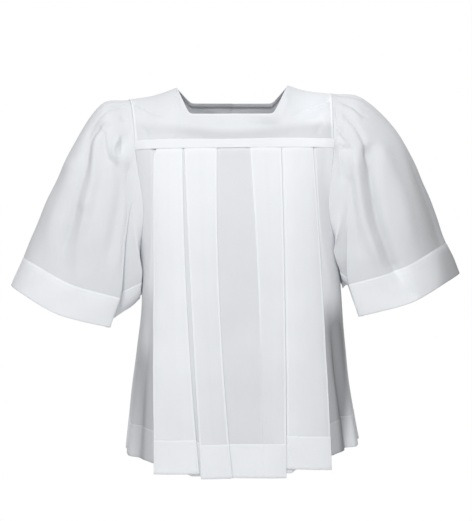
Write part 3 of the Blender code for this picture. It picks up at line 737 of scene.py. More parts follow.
def pleat_fold(edge, way, under, t, back, low, hidden_low, opened):
    """Stations from under a pleat to its edge: the half circle of the hidden fold, the cloth behind
    the face, and the half circle of the edge. The cloth behind lies against the face as far as the
    stitching and then falls back to the pleat's pitch."""
    pitch, shut = pitch_at(t), 1 - opened
    deep, reach = pitch * 2 * shut, under * shut
    made = []
    for angle in np.linspace(0, math.pi, 5):
        x = edge + way * (reach - PINCH / 2 + PINCH / 2 * math.sin(angle))
        turn = (1 - math.cos(angle)) / 2
        made.append((x, back + deep - pitch * shut * turn, hidden_low, HIDDEN_WHITE))
    for share in (0.75, 0.45, 0.22):
        x = edge + way * reach * share
        behind = PINCH + (pitch - PINCH) * ease(under * share, EDGE_STITCH, 5 * EDGE_STITCH)
        made.append((x, back + behind * shut + deep * opened, hidden_low, HIDDEN_WHITE))
    for angle in np.linspace(0, math.pi, 5):
        x = edge + way * PINCH / 2 * (1 - math.sin(angle)) * shut
        turn = (1 - math.cos(angle)) / 2
        made.append((x, back + PINCH * (1 - turn) * shut, low, FOLD_WHITE))
    return made


def pleat_face(pleat, a, width, t, back, opened):
    """Stations over a pleat's face, close together beside its edges. It billows as 4s(1 - s), with a
    valley along each row of stitches and a welt between that and the fold. Its white value runs
    straight between its corners, which carry painted shade, and is whiter over the layers behind it
    and most of all where it is sewn."""
    count = FACE_STATIONS - 2 * len(EDGE_STATIONS)
    inner = EDGE_STATIONS[-1]
    offsets = [near + 0 * t for near in EDGE_STATIONS]
    offsets += [inner + (width - 2 * inner) * (i + 1) / (count + 1) for i in range(count)]
    offsets += [width - near for near in EDGE_STATIONS[::-1]]
    made = []
    for from_a in offsets:
        across, from_b = from_a / width, width - from_a
        pinched = welt = layered = sewn = 0
        for away, under, shut in ((from_a, pleat["a_under"], 1 - opened), (from_b, pleat["b_under"], 1)):
            pinched = pinched + bell(away, EDGE_STITCH, 0.6 * MM) * shut
            welt = welt + bell(away, 1.1 * MM, 0.8 * MM) * shut
            layered = layered + (1 - ease(away, under - 1 * MM, under)) * shut
            sewn = sewn + (1 - ease(away, 2.8 * MM, 4.2 * MM)) * shut
        billow = 4 * across * (1 - across) * (0.4 + 1.6 * t) * MM
        inward = back + 0.40 * MM * pinched - 0.30 * MM * welt - billow
        low = pleat["a_low"] + (pleat["b_low"] - pleat["a_low"]) * across
        top_white, hem_white = (
            pleat["white_a_" + end] * (1 - across) + pleat["white_b_" + end] * across
            for end in ("top", "hem")
        )
        white = top_white + (hem_white - top_white) * t + 0.06 * layered
        made.append((a + from_a, inward, low, white + (SEWN_WHITE - white) * sewn))
    return made


def pleat_path(pleat, t, outer_a, outer_b):
    """Stations across one pleat, as (x, how far in, how low, white): under it, round its folds and
    over its face. The cloth under an outer pleat hangs as low as the side beside it."""
    a = edge_x(pleat, "a", t) + pleat["nip"] * (1 - ease(t, 0, 0.028))
    b = edge_x(pleat, "b", t)
    back, opened = pleat["set_back"] * t, opened_by(pleat, t)
    middle_low = (pleat["a_low"] + pleat["b_low"]) / 2
    left = pleat_fold(a, 1, pleat["a_under"], t, back, pleat["a_low"], outer_a or middle_low, opened)
    right = pleat_fold(b, -1, pleat["b_under"], t, back, pleat["b_low"], outer_b or middle_low, 0)
    return left + pleat_face(pleat, a, b - a, t, back, opened) + right[::-1]


def between_pleats(pleat, after, t, count):
    """Stations across the single cloth from one pleat to the next: as deep as the pleats' hidden
    layers, further forward where the next fold has opened, and in a wide gap a little forward."""
    opened = opened_by(after, t)
    b = edge_x(pleat, "b", t) - pleat["b_under"]
    a = edge_x(after, "a", t) + after["a_under"] * (1 - opened)
    low = (pleat["b_low"] + after["a_low"]) / 2
    made = []
    for share in (np.arange(count) + 1) / (count + 1):
        sink = pitch_at(t) * 2 * (1 - opened * ease(share, 0.35, 1))
        clear = ease(share, 0.20, 0.32) * (1 - ease(share, 0.68, 0.80)) * (count == WIDE_GAP)
        sink = sink - 1.3 * MM * clear * (1 - ease(t, 0.01, 0.06))
        made.append((b + (a - b) * share, sink, low, SINGLE_WHITE))
    return made


def side_tone(x, z, side, face):
    """The white value beside the pleats: painted shade on the single cloth below the arm, as if the
    unlit inside showed through, most of all in the trough next to the pleats and less towards the
    side seam, with painted light near the outline on the right and beside the arm seam high on the
    left."""
    if face == BACK:
        return 0.12 - 0.45 * ease(-z, 0.37, 0.49)
    from_outline = half_width(side, z) - np.abs(x)
    if side == RIGHT:
        # painted shade over the hollow, lighter near the outline
        hollow_shade = 0.34 + 0.28 * ease(x, -0.200, -0.188) + 0.24 * bell(x, -0.178, 0.008)
        hollow_shade = hollow_shade - 0.40 * (1 - ease(from_outline, 0.003, 0.013))
        return 0.10 - hollow_shade * (0.62 * ease(-z, 0.37, 0.46) + 0.38 * ease(-z, 0.50, 0.56))
    # painted shade in and beside the trough, and painted light beside the arm seam up high
    trough = 0.202 + 0.016 * ease(-z, 0.42, 0.72)
    hollow_shade = 0.78 * (1 - 0.85 * ease(x - trough, 0.009, 0.019)) + 0.56 * bell(x, trough + 0.002, 0.009)
    seam_light = (0.25 + 0.6 * ease(x, 0.176, 0.190)) * (1 - ease(-z, 0.16, 0.24))
    return 0.14 + seam_light - (hollow_shade + 0.10) * ease(-z, 0.40, 0.50)


def side_cloth(side, pleat, t, face):
    """The cloth from the outer pleat back to the side seam and its white values. Its depth runs in
    equal shares from the pleat's to the seam's, on the body's section, and it is moved in by the
    upright folds; its hem runs from under the pleat to the seam as share^0.6."""
    pleat_x = edge_x(pleat, "a" if side == RIGHT else "b", t)
    pleat_depth = body_depth(pleat_x[-1], SIDE_HEM[side], face)
    share = np.linspace(0.03, 1, SIDE_STATIONS)[None] ** 1.3
    hem_x = body_width(pleat_depth * (1 - share), SIDE_HEM[side], face, side)
    to_seam = (hem_x - pleat_x[-1]) / (side * half_width(side, SIDE_HEM[side]) - pleat_x[-1])
    hem = PLEAT_SIDE_HEM[side] + (SIDE_HEM[side] - PLEAT_SIDE_HEM[side]) * to_seam**0.6
    hem = hem + 7 * MM * ease(to_seam, 0.80, 1)
    top = yoke_end(side * CORNER_X) - SEAM_GAP
    z = top + t[:, None] * (hem - top)
    end_depth = np.maximum(arm_depth(z, side, face), SEAM_GAP / 2)
    depth = body_depth(pleat_x[:, None], z, face) * (1 - share) + end_depth * share
    x = body_width(depth, z, face, side)
    nx, ny = outward(x, depth, z, face)
    inward = 2 * pitch_at(t)[:, None] * (1 - ease(share, 0, 0.10))
    for row in SIDE_FOLDS[face]:
        fold = dict(zip(FOLD_COLUMNS, row))
        grown = ease(-z, -fold["starts"], 0.70)
        place = fold["place_high"] + (fold["place_hem"] - fold["place_high"]) * grown
        size = fold["depth_high"] + (fold["depth_hem"] - fold["depth_high"]) * grown
        fade = ease(-z, -fold["starts"], 0.10 - fold["starts"]) * (1 - ease(share, 0.88, 1))
        inward = inward + bell(share, place, fold["width"]) * size * fade * (fold["side"] == side)
    inward = inward + 0.5 * MM * swell(x, z * 0.5, 0.05, 51 + side) * (1 - ease(share, 0.9, 1))
    made = np.stack([x - nx * inward, face * depth - ny * inward, z], axis=-1)
    return made, side_tone(x, z, side, face) + 0.5 * bell(1 - share, 0, 0.02)


def panel_grid(face):
    """The whole panel's grid of points, the white value of each, the columns of its pinched edges and
    whether each opens, the row of the hem's top, and each row's share of the length. Across, it runs
    from side seam to side seam through every pleat; down, from yoke to hem."""
    hem_share = 1 - HEM_DEPTH / (YOKE_END - PLEATS[face][0][PLEAT_COLUMNS.index("a_low")])
    t = np.concatenate(
        [
            [0, 0.004],
            np.linspace(0.012, hem_share - 0.006, BODY_ROWS),
            hem_share + np.array([-0.0035, -0.0015, 0, 0.0015, 0.0035]),
            np.linspace(hem_share + 0.007, 1, 13),
        ]
    )
    pleats = [dict(zip(PLEAT_COLUMNS, row)) for row in PLEATS[face]]
    stations, pinched = [], []
    for place, pleat in enumerate(pleats):
        outer_a = PLEAT_SIDE_HEM[RIGHT] if place == 0 else None
        outer_b = PLEAT_SIDE_HEM[LEFT] if pleat is pleats[-1] else None
        path = pleat_path(pleat, t, outer_a, outer_b)
        edge = len(path) // 2 - FACE_STATIONS // 2 + 2
        first = SIDE_STATIONS + len(stations)
        pinched += [(first + edge, pleat["opens"]), (first + len(path) - 1 - edge, 0)]
        stations += path
        if pleat is not pleats[-1]:
            after = pleats[place + 1]
            wide = after["opens"] or face == BACK and place == 1
            stations += between_pleats(pleat, after, t, WIDE_GAP if wide else NARROW_GAP)
    x, inward, low, white = (
        np.stack([np.broadcast_to(station[part], t.shape) for station in stations], axis=1)
        for part in range(4)
    )
    top = yoke_end(x) - SEAM_GAP
    z = top + t[:, None] * (low - top)
    depth = body_depth(x, z, face)
    nx, ny = outward(x, depth, z, face)
    inward = inward + swell(x, z, 0.16, 31 + face) * 1.6 * MM * ease(t, 0.05, 0.7)[:, None]
    inward = inward + swell(x, z * 0.45, 0.045, 41 + face) * 0.5 * MM * ease(t, 0.02, 0.4)[:, None]
    inward = inward - 0.2 * MM * (ease(t, 0, 0.004) * (1 - ease(t, 0.010, 0.035)))[:, None]
    # painted light: the top rows are whiter, against the shade under the band's lip
    white = white + 0.45 * (1 - ease(t, 0.003, 0.016))[:, None]
    points = np.stack([x - nx * inward, face * depth - ny * inward, z], axis=-1)
    right, right_white = side_cloth(RIGHT, pleats[0], t, face)
    left, left_white = side_cloth(LEFT, pleats[-1], t, face)
    points = np.concatenate([right[:, ::-1], points, left], axis=1)
    white = np.concatenate([right_white[:, ::-1], white, left_white], axis=1)
    return points, white, pinched, int(np.searchsorted(t, hem_share)), t


body_cloth = cotton("body_cloth", BODY_PAINTED_SHADE, BODY_THIN, BODY_DOUBLED, 7)
for face in (FRONT, BACK):
    points, white, pinched, hem_row, t = panel_grid(face)
    normals = grid_normals(points, face)
    hem = t[:, None] > t[hem_row]
    from_hem_top = (t - t[hem_row])[:, None] * PANEL_LENGTH
    ridge_line = 0.35 * MM * bell(from_hem_top, 0.0022, 0.0016) - 0.35 * MM * bell(from_hem_top, 0, 0.0010)
    points = points + normals * (ridge_line + 0.25 * MM * hem)[..., None]
    # The hem is doubled, but where the cloth carries painted shade it keeps it, a little lighter; along the
    # hem's top ridge lies a painted highlight.
    whiter = np.where(white < 0, white + 0.10, HEM_WHITE)
    white = white + hem * (whiter - white) + 0.25 * bell(from_hem_top, 0.0022, 0.0018) * (white > 0)
    turn_rows = list(range(len(t) - 1, hem_row, -2)) + [hem_row]
    turned = turned_under(points, normals, turn_rows, HEM_TURN)
    whole = np.concatenate([points, turned])
    whole_white = np.concatenate([white, np.full((len(turned), white.shape[1]), 0.7)])
    name = FACE_NAMES[face] + "_panel"
    panel = cloth_piece(name + "_cloth", whole, whole_white, face == BACK)
    panel.data.materials.append(body_cloth)
    lines = []
    for column, opens in pinched:
        last = int(len(t) * STITCHED_SHARE) if opens else len(t)
        lines.append((points[2:last, column], normals[2:last, column]))
    lines.append((points[hem_row], normals[hem_row]))
    sewn = stitches(name + "_stitches", lines, thread)
    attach(panel, "root")
    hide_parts(name)

# ---------------------------------------------------------------------------- sleeves
# Wide half sleeves of the same cloth, gathered over the shoulder into the armhole. Each hangs in a
# bell from its gathers, folds over sharply beside the body, and ends in a hem turned up 60 to 69 mm.
SLEEVE_THIN = (0.735, 0.751, 0.775)
SLEEVE_DOUBLED = (0.895, 0.915, 0.945)
# painted shade colour for single sleeve cloth close over the unlit inside
SLEEVE_PAINTED_SHADE = (0.36, 0.37, 0.385)
ARM_SEAM_GAP = 0.0006  # between a sleeve and the armhole's edge
YOKE_ARM_SHARE = 0.4  # how much of half the armhole is the yoke's edge
CUFF_DEPTH = {RIGHT: 0.0605, LEFT: 0.0650}
CUFF_MIDDLE = 0.004  # how much deeper the hem is in the middle of its front and back
CUFF_TURN = 0.9 * MM
SHOULDER_SHARE = 0.26  # how far from a ring's outer line towards its middle its shoulder lies
SHOULDER_REACH = {RIGHT: 0.68, LEFT: 0.50}  # share of the ring's reach that it has there
INNER_SHARE = 0.55  # how far down from the fold to the underarm the cloth beside the body lies
BACK_OUT = 0.012  # how much further from the body the fold lies at the back
TUCK_IN, TUCK_BACK, TUCK_UP = 0.011, 0.010, 0.002  # how the cloth laps under the fold
SETTLE = {RIGHT: 2.5 * MM, LEFT: 0.8 * MM}  # how far the cloth sinks below the gathers
GATHER_DEPTH = 1.5 * MM
SHADED = {RIGHT: 0.06, LEFT: 0.56}  # painted shade where single cloth turns away from the light at its outer end
HEM_SHADED = 2.4  # the same painted shade on the doubled hem's outer end, as a multiple of that
TROUGH_SHADE = 14  # painted shade: white value lost for each metre that a fold is deep

# Rings of each sleeve from the armhole down: the outer line, the fold nearest the body, the
# underarm, how far the ring reaches to front and back, how far its middle droops, how much higher
# than a straight line it hangs between fold and underarm, how far the fold laps over, how far
# forward the fold itself comes, and where the cloth beside the body lies.
RING_COLUMNS = (
    "outer_x", "outer_z", "fold_x", "fold_z", "under_x", "under_z", "reach", "droop", "lift", "lap",
    "fold_reach", "inner_reach", "inner_x",
)
SLEEVE_RINGS = {
    RIGHT: (
        (-0.2610, -0.0350, -0.1970, -0.2450, -0.1835, -0.3900,
         0.096, 0.000, 0.000, 0.10, 0.100, 0.100, -0.1830),
        (-0.3170, -0.1130, -0.2050, -0.3000, -0.1850, -0.3990,
         0.102, 0.000, 0.000, 0.40, 0.101, 0.098, -0.1800),
        (-0.3700, -0.2240, -0.2110, -0.3600, -0.1870, -0.4090,
         0.102, 0.004, 0.000, 0.75, 0.098, 0.090, -0.1780),
        (-0.4120, -0.3230, -0.2190, -0.4250, -0.1890, -0.4180,
         0.096, 0.009, 0.000, 1.00, 0.090, 0.072, -0.1850),
        (-0.4460, -0.4020, -0.2390, -0.4845, -0.1915, -0.4220,
         0.088, 0.015, 0.006, 1.00, 0.080, 0.056, -0.2010),
    ),
    LEFT: (
        (0.2620, -0.0245, 0.2230, -0.2350, 0.2200, -0.3790,
         0.096, 0.000, 0.004, 0.00, 0.098, 0.103, 0.2030),
        (0.3330, -0.0930, 0.2260, -0.2850, 0.2205, -0.3860,
         0.102, 0.000, 0.008, 0.15, 0.099, 0.100, 0.2000),
        (0.3900, -0.2030, 0.2250, -0.3450, 0.2215, -0.3930,
         0.102, 0.004, 0.012, 0.50, 0.096, 0.090, 0.2000),
        (0.4270, -0.3020, 0.2280, -0.3950, 0.2225, -0.4010,
         0.096, 0.009, 0.016, 0.85, 0.089, 0.070, 0.2080),
        (0.4600, -0.3780, 0.2510, -0.4625, 0.2235, -0.4085,
         0.088, 0.014, 0.020, 1.00, 0.080, 0.054, 0.2430),
    ),
}
# Around half a ring: outer line, shoulder, middle, fold, lapped back under it, inner, underarm.
RING_KEYS = (0.0, 0.08, 0.16, 0.25, 0.28, 0.35, 0.5)

# The folds of each sleeve's front and back, as the yoke's creases: places, width, depth, sharpness.
SLEEVE_CREASES = {
    (RIGHT, FRONT): (
        (((-0.202, -0.042), (-0.236, -0.047), (-0.260, -0.064), (-0.282, -0.094), (-0.292, -0.125)),
         0.0050, 0.0042, 1.3),
        (((-0.238, -0.076), (-0.264, -0.088), (-0.279, -0.115), (-0.285, -0.142), (-0.289, -0.166),
          (-0.297, -0.195), (-0.307, -0.234), (-0.317, -0.273), (-0.328, -0.313), (-0.336, -0.352),
          (-0.344, -0.420)), 0.0110, 0.0095, 1.7),
        (((-0.258, -0.090), (-0.268, -0.115), (-0.270, -0.142), (-0.270, -0.166), (-0.272, -0.195),
          (-0.281, -0.234), (-0.291, -0.273), (-0.302, -0.313), (-0.311, -0.360)), 0.0110, -0.0075, 2.0),
        (((-0.290, -0.240), (-0.305, -0.290), (-0.318, -0.340), (-0.326, -0.420)), 0.0150, 0.0040, 2.0),
        (((-0.262, -0.092), (-0.250, -0.086), (-0.234, -0.083)), 0.0030, -0.0030, 1.6),
        (((-0.252, -0.096), (-0.251, -0.122), (-0.243, -0.150), (-0.230, -0.168)), 0.0045, 0.0052, 1.4),
        (((-0.214, -0.108), (-0.228, -0.122), (-0.232, -0.140), (-0.224, -0.164)), 0.0042, -0.0046, 1.6),
        (((-0.220, -0.106), (-0.2155, -0.124), (-0.217, -0.150)), 0.0045, 0.0045, 1.4),
        (((-0.205, -0.068), (-0.214, -0.074), (-0.216, -0.062)), 0.0040, 0.0030, 1.4),
        (((-0.232, -0.150), (-0.221, -0.180), (-0.218, -0.220), (-0.226, -0.270), (-0.238, -0.330),
          (-0.250, -0.400)), 0.0120, 0.0065, 1.9),
        (((-0.203, -0.150), (-0.202, -0.200), (-0.204, -0.260), (-0.210, -0.330), (-0.220, -0.420)),
         0.0075, 0.0055, 1.6),
        (((-0.312, -0.140), (-0.336, -0.210), (-0.356, -0.280), (-0.372, -0.360)), 0.0150, -0.0024, 2.0),
        (((-0.330, -0.160), (-0.362, -0.240), (-0.392, -0.330)), 0.0140, 0.0012, 2.0),
    ),
    (RIGHT, BACK): (
        (((-0.214, -0.060), (-0.244, -0.080), (-0.262, -0.140), (-0.272, -0.220), (-0.286, -0.380)),
         0.0095, 0.0080, 1.5),
        (((-0.262, -0.076), (-0.300, -0.120), (-0.326, -0.200), (-0.350, -0.330)), 0.0100, 0.0062, 1.6),
        (((-0.252, -0.090), (-0.285, -0.150), (-0.305, -0.240), (-0.322, -0.360)), 0.0110, -0.0044, 2.0),
        (((-0.210, -0.100), (-0.222, -0.160), (-0.228, -0.240), (-0.244, -0.380)), 0.0085, 0.0050, 1.6),
        (((-0.212, -0.050), (-0.240, -0.058), (-0.262, -0.078)), 0.0040, 0.0034, 1.3),
        (((-0.205, -0.120), (-0.209, -0.170), (-0.214, -0.240)), 0.0070, -0.0034, 2.0),
    ),
    (LEFT, FRONT): (
        (((0.219, -0.058), (0.232, -0.074), (0.246, -0.090), (0.2605, -0.120), (0.2655, -0.140),
          (0.266, -0.178)), 0.0045, 0.0062, 1.3),
        (((0.316, -0.350), (0.331, -0.381), (0.353, -0.418), (0.360, -0.430)), 0.0100, 0.0035, 2.0),
        (((0.264, -0.118), (0.271, -0.137), (0.273, -0.166), (0.273, -0.197), (0.278, -0.234),
          (0.285, -0.273), (0.299, -0.313), (0.313, -0.352), (0.328, -0.388), (0.342, -0.450)),
         0.0135, 0.0150, 1.8),
        (((0.240, -0.130), (0.243, -0.166), (0.246, -0.195), (0.251, -0.234), (0.259, -0.273),
          (0.271, -0.313), (0.285, -0.352), (0.298, -0.400)), 0.0110, -0.0085, 2.0),
        (((0.232, -0.180), (0.236, -0.240), (0.242, -0.300), (0.250, -0.360)), 0.0090, 0.0040, 1.9),
        (((0.279, -0.110), (0.300, -0.150), (0.321, -0.195), (0.334, -0.235), (0.342, -0.275),
          (0.350, -0.315), (0.358, -0.370)), 0.0190, -0.0050, 2.0),
        (((0.350, -0.110), (0.377, -0.180), (0.394, -0.234), (0.410, -0.280), (0.424, -0.330),
          (0.434, -0.390)), 0.0180, 0.0050, 2.0),
        (((0.218, -0.036), (0.238, -0.045), (0.256, -0.062), (0.276, -0.068)), 0.0038, 0.0036, 1.2),
        (((0.220, -0.047), (0.240, -0.057), (0.258, -0.076)), 0.0045, -0.0024, 1.7),
        (((0.203, -0.096), (0.212, -0.094), (0.219, -0.108), (0.236, -0.124)), 0.0034, -0.0036, 1.4),
        (((0.206, -0.104), (0.213, -0.108), (0.222, -0.121)), 0.0036, 0.0030, 1.4),
        (((0.217, -0.128), (0.226, -0.133), (0.236, -0.130)), 0.0050, 0.0040, 1.6),
        (((0.204, -0.042), (0.207, -0.064), (0.216, -0.068)), 0.0034, 0.0028, 1.3),
        (((0.210, -0.120), (0.212, -0.160), (0.216, -0.210)), 0.0060, 0.0036, 1.7),
    ),
    (LEFT, BACK): (
        (((0.216, -0.056), (0.246, -0.078), (0.266, -0.140), (0.280, -0.220), (0.298, -0.370)),
         0.0100, 0.0082, 1.5),
        (((0.262, -0.066), (0.302, -0.110), (0.334, -0.190), (0.364, -0.320)), 0.0100, 0.0064, 1.6),
        (((0.256, -0.080), (0.290, -0.140), (0.316, -0.230), (0.336, -0.350)), 0.0120, -0.0044, 2.0),
        (((0.212, -0.096), (0.226, -0.150), (0.234, -0.230), (0.252, -0.360)), 0.0085, 0.0052, 1.6),
        (((0.210, -0.042), (0.238, -0.050), (0.262, -0.070)), 0.0040, 0.0034, 1.3),
        (((0.206, -0.110), (0.212, -0.170), (0.220, -0.240)), 0.0070, -0.0034, 2.0),
    ),
}


def armhole(side, face, share):
    """The armhole's edge from the shoulder tip at 0 to the underarm at 1, first down the yoke's edge
    and then down the panel's."""
    on_yoke = np.clip(share / YOKE_ARM_SHARE, 0, 1)
    yoke_points = yoke_curve(side * yoke_side(side)["tip_x"], yoke_arm_x(side, face), on_yoke, 0, face)
    corner_z = yoke_end(side * CORNER_X)
    under_z = corner_z + UNDERARM_SHARE * (SIDE_HEM[side] - corner_z)
    on_panel = np.clip((share - YOKE_ARM_SHARE) / (1 - YOKE_ARM_SHARE), 0, 1)
    z = corner_z + (under_z - corner_z) * np.sin(on_panel * math.pi / 2)
    depth = arm_depth(z, side, face)
    panel_points = np.stack([body_width(depth, z, face, side), face * depth, z], axis=1)
    return np.where((share <= YOKE_ARM_SHARE)[:, None], yoke_points, panel_points)


def sleeve_ring(ring, around, side):
    """One ring of the sleeve: a smooth closed curve outside, and inside it lapped back under the fold
    and then run on to the underarm."""
    size = dict(zip(RING_COLUMNS, ring))
    outer = np.array([size["outer_x"], 0, size["outer_z"]])
    fold = np.array([size["fold_x"], -size["fold_reach"], size["fold_z"]])
    under = np.array([size["under_x"], 0, size["under_z"]])
    middle = (outer + fold) / 2
    middle[1], middle[2] = -size["reach"], middle[2] - size["droop"]
    shoulder = outer + (middle - outer) * SHOULDER_SHARE
    shoulder[1] = -size["reach"] * SHOULDER_REACH[side]
    lapped = fold + np.array([side * TUCK_IN * size["lap"], TUCK_BACK * size["lap"], TUCK_UP])
    inner_z = fold[2] + (under[2] - fold[2]) * INNER_SHARE + size["lift"]
    inner = np.array([size["inner_x"], -size["inner_reach"], inner_z])
    front = [outer, shoulder, middle, fold, lapped, inner, under]
    behind = np.array([side * BACK_OUT * size["lap"], 0, 0])
    back = [inner + behind, lapped + behind, fold + behind, middle, shoulder]
    loop = front + [point * np.array([1, -1, 1]) for point in back]
    keys = list(RING_KEYS) + [1 - key for key in RING_KEYS[-2:0:-1]]
    knots = [keys[-2] - 1, keys[-1] - 1] + keys + [1, 1 + keys[1]]
    return smooth(around, knots, loop[-2:] + loop + loop[:2])


def spread_rows(points, shares, hem_shares, hem_depth):
    """The same surface with new rows, measured along the cloth of each column: the first at shares of
    the way from the head to the hem's top, the others at shares of the hem's depth below it."""
    steps = np.linalg.norm(np.diff(points, axis=0), axis=2)
    run = np.concatenate([np.zeros((1, points.shape[1])), np.cumsum(steps, axis=0)])
    above = run[-1] - hem_depth
    places = np.concatenate([shares[:, None] * above, above + hem_shares[:, None] * hem_depth])
    return along_columns(places, run, points), places.mean(axis=1) - above.mean()


def sleeve_bell(side):
    """The smooth bell, rings down it and columns around it, from the armhole to the cuff's edge: a
    smooth run through the armhole and the table's rings, its columns closest beside the fold and its
    rows at the hem. With it come how far each row lies below the hem's top, which row that top is,
    and each column's share of the way from the outer line to the underarm, halved."""
    half = np.concatenate(
        [
            np.linspace(0, 0.235, 76),
            np.linspace(0.235, 0.300, 24)[1:],
            np.linspace(0.300, 0.400, 20)[1:],
            np.linspace(0.400, 0.500, 19)[1:],
        ]
    )
    around = np.concatenate([half, 1 - half[-2:0:-1]])
    top = np.minimum(around, 1 - around)
    on_front = (around <= 0.5)[:, None]
    first = np.where(on_front, armhole(side, FRONT, 2 * top), armhole(side, BACK, 2 * top))
    first[:, 0] += side * ARM_SEAM_GAP
    rings = np.stack([first] + [sleeve_ring(ring, around, side) for ring in SLEEVE_RINGS[side]])
    stations = np.arange(len(rings))
    points = smooth(np.linspace(0, 1, 240) ** 1.1 * stations[-1], stations, rings)
    upper = np.concatenate(
        [np.linspace(0, 0.05, 9), np.linspace(0.05, 0.982, 96)[1:], [0.986, 0.990, 0.993, 0.9965, 1]]
    )
    lower = np.array([0.02, 0.04, 0.065, 0.09, 0.13, 0.22, 0.34, 0.46, 0.58, 0.70, 0.82, 0.92, 0.97, 1])
    hem_depth = CUFF_DEPTH[side] + CUFF_MIDDLE * bell(top, 0.14, 0.09)
    points, below = spread_rows(points, upper, lower, hem_depth)
    return points, below[:, None], len(upper) - 1, top


def gathers(top, side, fall):
    """How far the gathers move the cloth in: about 31 waves around, unevenly spaced and deep, that
    fade away below the head and beside the outer line and the underarm."""
    waves = np.sin(math.tau * (31 * top + 1.3 * np.sin(17 * top) + 0.4 * np.sin(39 * top + side)))
    uneven = 0.65 + 0.35 * np.sin(23 * top + 2.1 * side)
    spread = ease(top, 0.0, 0.03) * (1 - ease(top, 0.20, 0.27))
    fade = ease(fall, 0.004, 0.03) * (1 - ease(fall, 0.04, 0.26))
    return waves * uneven * GATHER_DEPTH * spread * fade


def sleeve_grid(side):
    """The sleeve's grid: the smooth bell moved in by its folds, its gathers and its swell, and kept
    clear of the body. With it come the bell's row places and how deep each point lies in a fold."""
    points, below, hem_row, top = sleeve_bell(side)
    normals = grid_normals(points, side, closed=True)
    x, y, z = points[..., 0], points[..., 1], points[..., 2]
    fall = (below - below[0]) / (below[-1] - below[0])
    folds = np.zeros(x.shape)
    for face in (FRONT, BACK):
        on_face = ease(y * face, 0.004, 0.030) * (1 - ease(top, 0.238, 0.262))
        folds += creases(SLEEVE_CREASES[side, face], x, z) * on_face
    folds = folds * ease(fall, 0.004, 0.02)
    settled = SETTLE[side] * bell(fall, 0.055, 0.05) * (1 - ease(top, 0.16, 0.26))
    swelling = 1.2 * MM * swell(x, z, 0.085, 61 + side) * ease(fall, 0.1, 0.5)
    moved = folds + gathers(top, side, fall) + settled + swelling
    points = points - normals * moved[..., None]
    clear = ARM_SEAM_GAP + 3.5 * MM * ease(fall, 0, 0.25)
    for face in (FRONT, BACK):
        wall_x = body_width(np.abs(points[..., 1]), points[..., 2], face, side) + side * clear
        low = points[..., 2] < YOKE_END
        near = (points[..., 1] * face >= 0) & low & (side * points[..., 0] < side * wall_x)
        points[1:, :, 0] = np.where(near, wall_x, points[..., 0])[1:]
    return points, below, hem_row, np.maximum(folds, 0)


def sleeve_white(points, below, hem, troughs, side):
    """The sleeve's white value: low on single cloth and high on the doubled hem, with a painted
    highlight along the hem's top, and painted shade deep in the folds and where the cloth turns away
    from the light at its outer end."""
    x, z = side * points[..., 0], points[..., 2]
    turns_away = 0.322 - 0.075 * z
    away = ease(x, turns_away, turns_away + 0.055) * (1 - 0.5 * hem)
    white = 0.06 + 0.80 * hem + 0.32 * bell(below, 0.0045, 0.0040) - SHADED[side] * away
    # painted shade on the hem's outer end
    end = HEM_SHADED * SHADED[side] * ease(x, 0.380, 0.436)
    return white - TROUGH_SHADE * troughs * (1 - hem) - end * hem


sleeve_cloth = cotton("sleeve_cloth", SLEEVE_PAINTED_SHADE, SLEEVE_THIN, SLEEVE_DOUBLED, 9)
for side in (RIGHT, LEFT):
    points, below, hem_row, troughs = sleeve_grid(side)
    normals = grid_normals(points, side, closed=True)
    hem = ease(below, -0.0005, 0.0010)
    ridge_line = 0.35 * MM * bell(below, 0.0030, 0.0020) - 0.35 * MM * bell(below, 0, 0.0015)
    points = points + normals * (ridge_line + 0.25 * MM * hem)[..., None]
    white = sleeve_white(points, below, hem, troughs, side)
    head = turned_under(points, normals, [0, 1, 2, 4], 1.0 * MM)[::-1]
    turned = turned_under(points, normals, [-1, -2, -3, -5, -8, -11, hem_row], CUFF_TURN)
    whole = np.concatenate([head, points, turned])
    whole_white = np.concatenate([white[:1].repeat(len(head), 0), white, white[-1:].repeat(len(turned), 0)])
    name = "sleeve_" + SIDE_NAMES[side]
    sleeve = cloth_piece(name + "_cloth", whole, whole_white, side == RIGHT, closed=True)
    sleeve.data.materials.append(sleeve_cloth)
    closed_line = np.concatenate([points[hem_row], points[hem_row, :1]])
    closed_normals = np.concatenate([normals[hem_row], normals[hem_row, :1]])
    sewn = stitches(name + "_stitches", [(closed_line, closed_normals)], thread)
    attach(sleeve, "root")
    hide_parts(name)

# ---------------------------------------------------------------------------- room
# A plain pale studio: a floor where a wearer would stand, one broad soft light in front and a
# little to the wearer's right, weaker ones for the sides and the back, and an even pale surround.
FLOOR_HEIGHT = -1.45
FLOOR_RADIUS = 2.6
FLOOR_GREY = 0.86
CAMERA_PLACE = (0.008, -3.0, -0.353)
CAMERA_LENS = 102.4
AMBIENT, BACKDROP = 0.37, 1.0
LIGHT_COLUMNS = ("name", "place", "aim", "size", "watts")
LIGHTS = (
    ("key", (-0.42, -2.4, 1.75), (0.0, 0.0, -0.30), 1.1, 62.5),
    ("fill", (0.5, -3.4, 0.1), (0.0, 0.0, -0.35), 2.2, 8.0),
    ("rear", (0.8, 3.0, 1.2), (0.0, 0.0, -0.3), 2.0, 30.0),
)

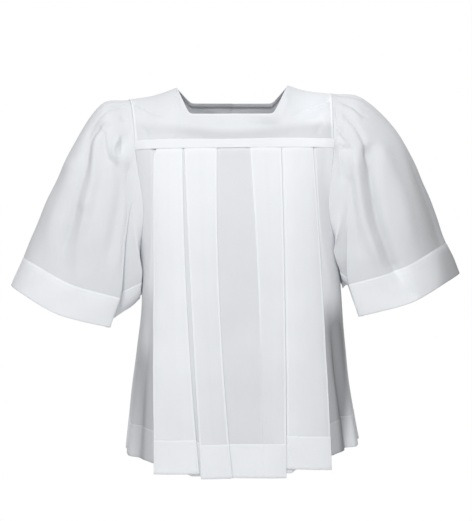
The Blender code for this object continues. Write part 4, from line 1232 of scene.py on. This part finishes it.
turn = np.arange(96) / 96 * math.tau
rim = np.stack([np.cos(turn), np.sin(turn), 0 * turn], axis=1) * FLOOR_RADIUS + (0, 0, FLOOR_HEIGHT)
floor_mesh = bpy.data.meshes.new("floor")
floor_mesh.from_pydata(rim, [], [list(range(96))])
floor = bpy.data.objects.new("floor", floor_mesh)
bpy.context.scene.collection.objects.link(floor)
floor_paint = bpy.data.materials.new("pale_floor")
floor_paint.use_nodes = True
floor_shader = floor_paint.node_tree.nodes["Principled BSDF"]
floor_shader.inputs["Base Color"].default_value = (FLOOR_GREY, FLOOR_GREY, FLOOR_GREY, 1)
floor_shader.inputs["Roughness"].default_value = 0.9
floor_mesh.materials.append(floor_paint)


def aimed(thing, place, target):
    """Puts a light or camera at place, its -Z axis towards target and its top up."""
    made = bpy.data.objects.new(thing.name, thing)
    bpy.context.scene.collection.objects.link(made)
    made.location = place
    made.rotation_euler = (Vector(place) - Vector(target)).to_track_quat("Z", "Y").to_euler()
    return made


for row in LIGHTS:
    light = dict(zip(LIGHT_COLUMNS, row))
    lamp = bpy.data.lights.new(light["name"], "AREA")
    lamp.shape = "DISK"
    lamp.size = light["size"]
    lamp.energy = light["watts"]
    aimed(lamp, light["place"], light["aim"])

world = bpy.data.worlds.new("studio")
bpy.context.scene.world = world
world.use_nodes = True
surround = Shade(world.node_tree)
seen = surround.make("ShaderNodeLightPath")
ambient = surround.make("ShaderNodeBackground", (), {"Color": (1, 1, 1, 1), "Strength": AMBIENT})
backdrop = surround.make("ShaderNodeBackground", (), {"Color": (1, 1, 1, 1), "Strength": BACKDROP})
mixed = surround.make("ShaderNodeMixShader", (), {0: seen, 1: ambient, 2: backdrop})
world.node_tree.links.new(mixed.socket, world.node_tree.nodes["World Output"].inputs["Surface"])

bpy.context.scene.view_settings.view_transform = "Standard"
camera = bpy.data.cameras.new("camera")
camera.lens = CAMERA_LENS
camera.sensor_width = 36.0
bpy.context.scene.camera = aimed(camera, CAMERA_PLACE, (CAMERA_PLACE[0], 0.0, CAMERA_PLACE[2]))
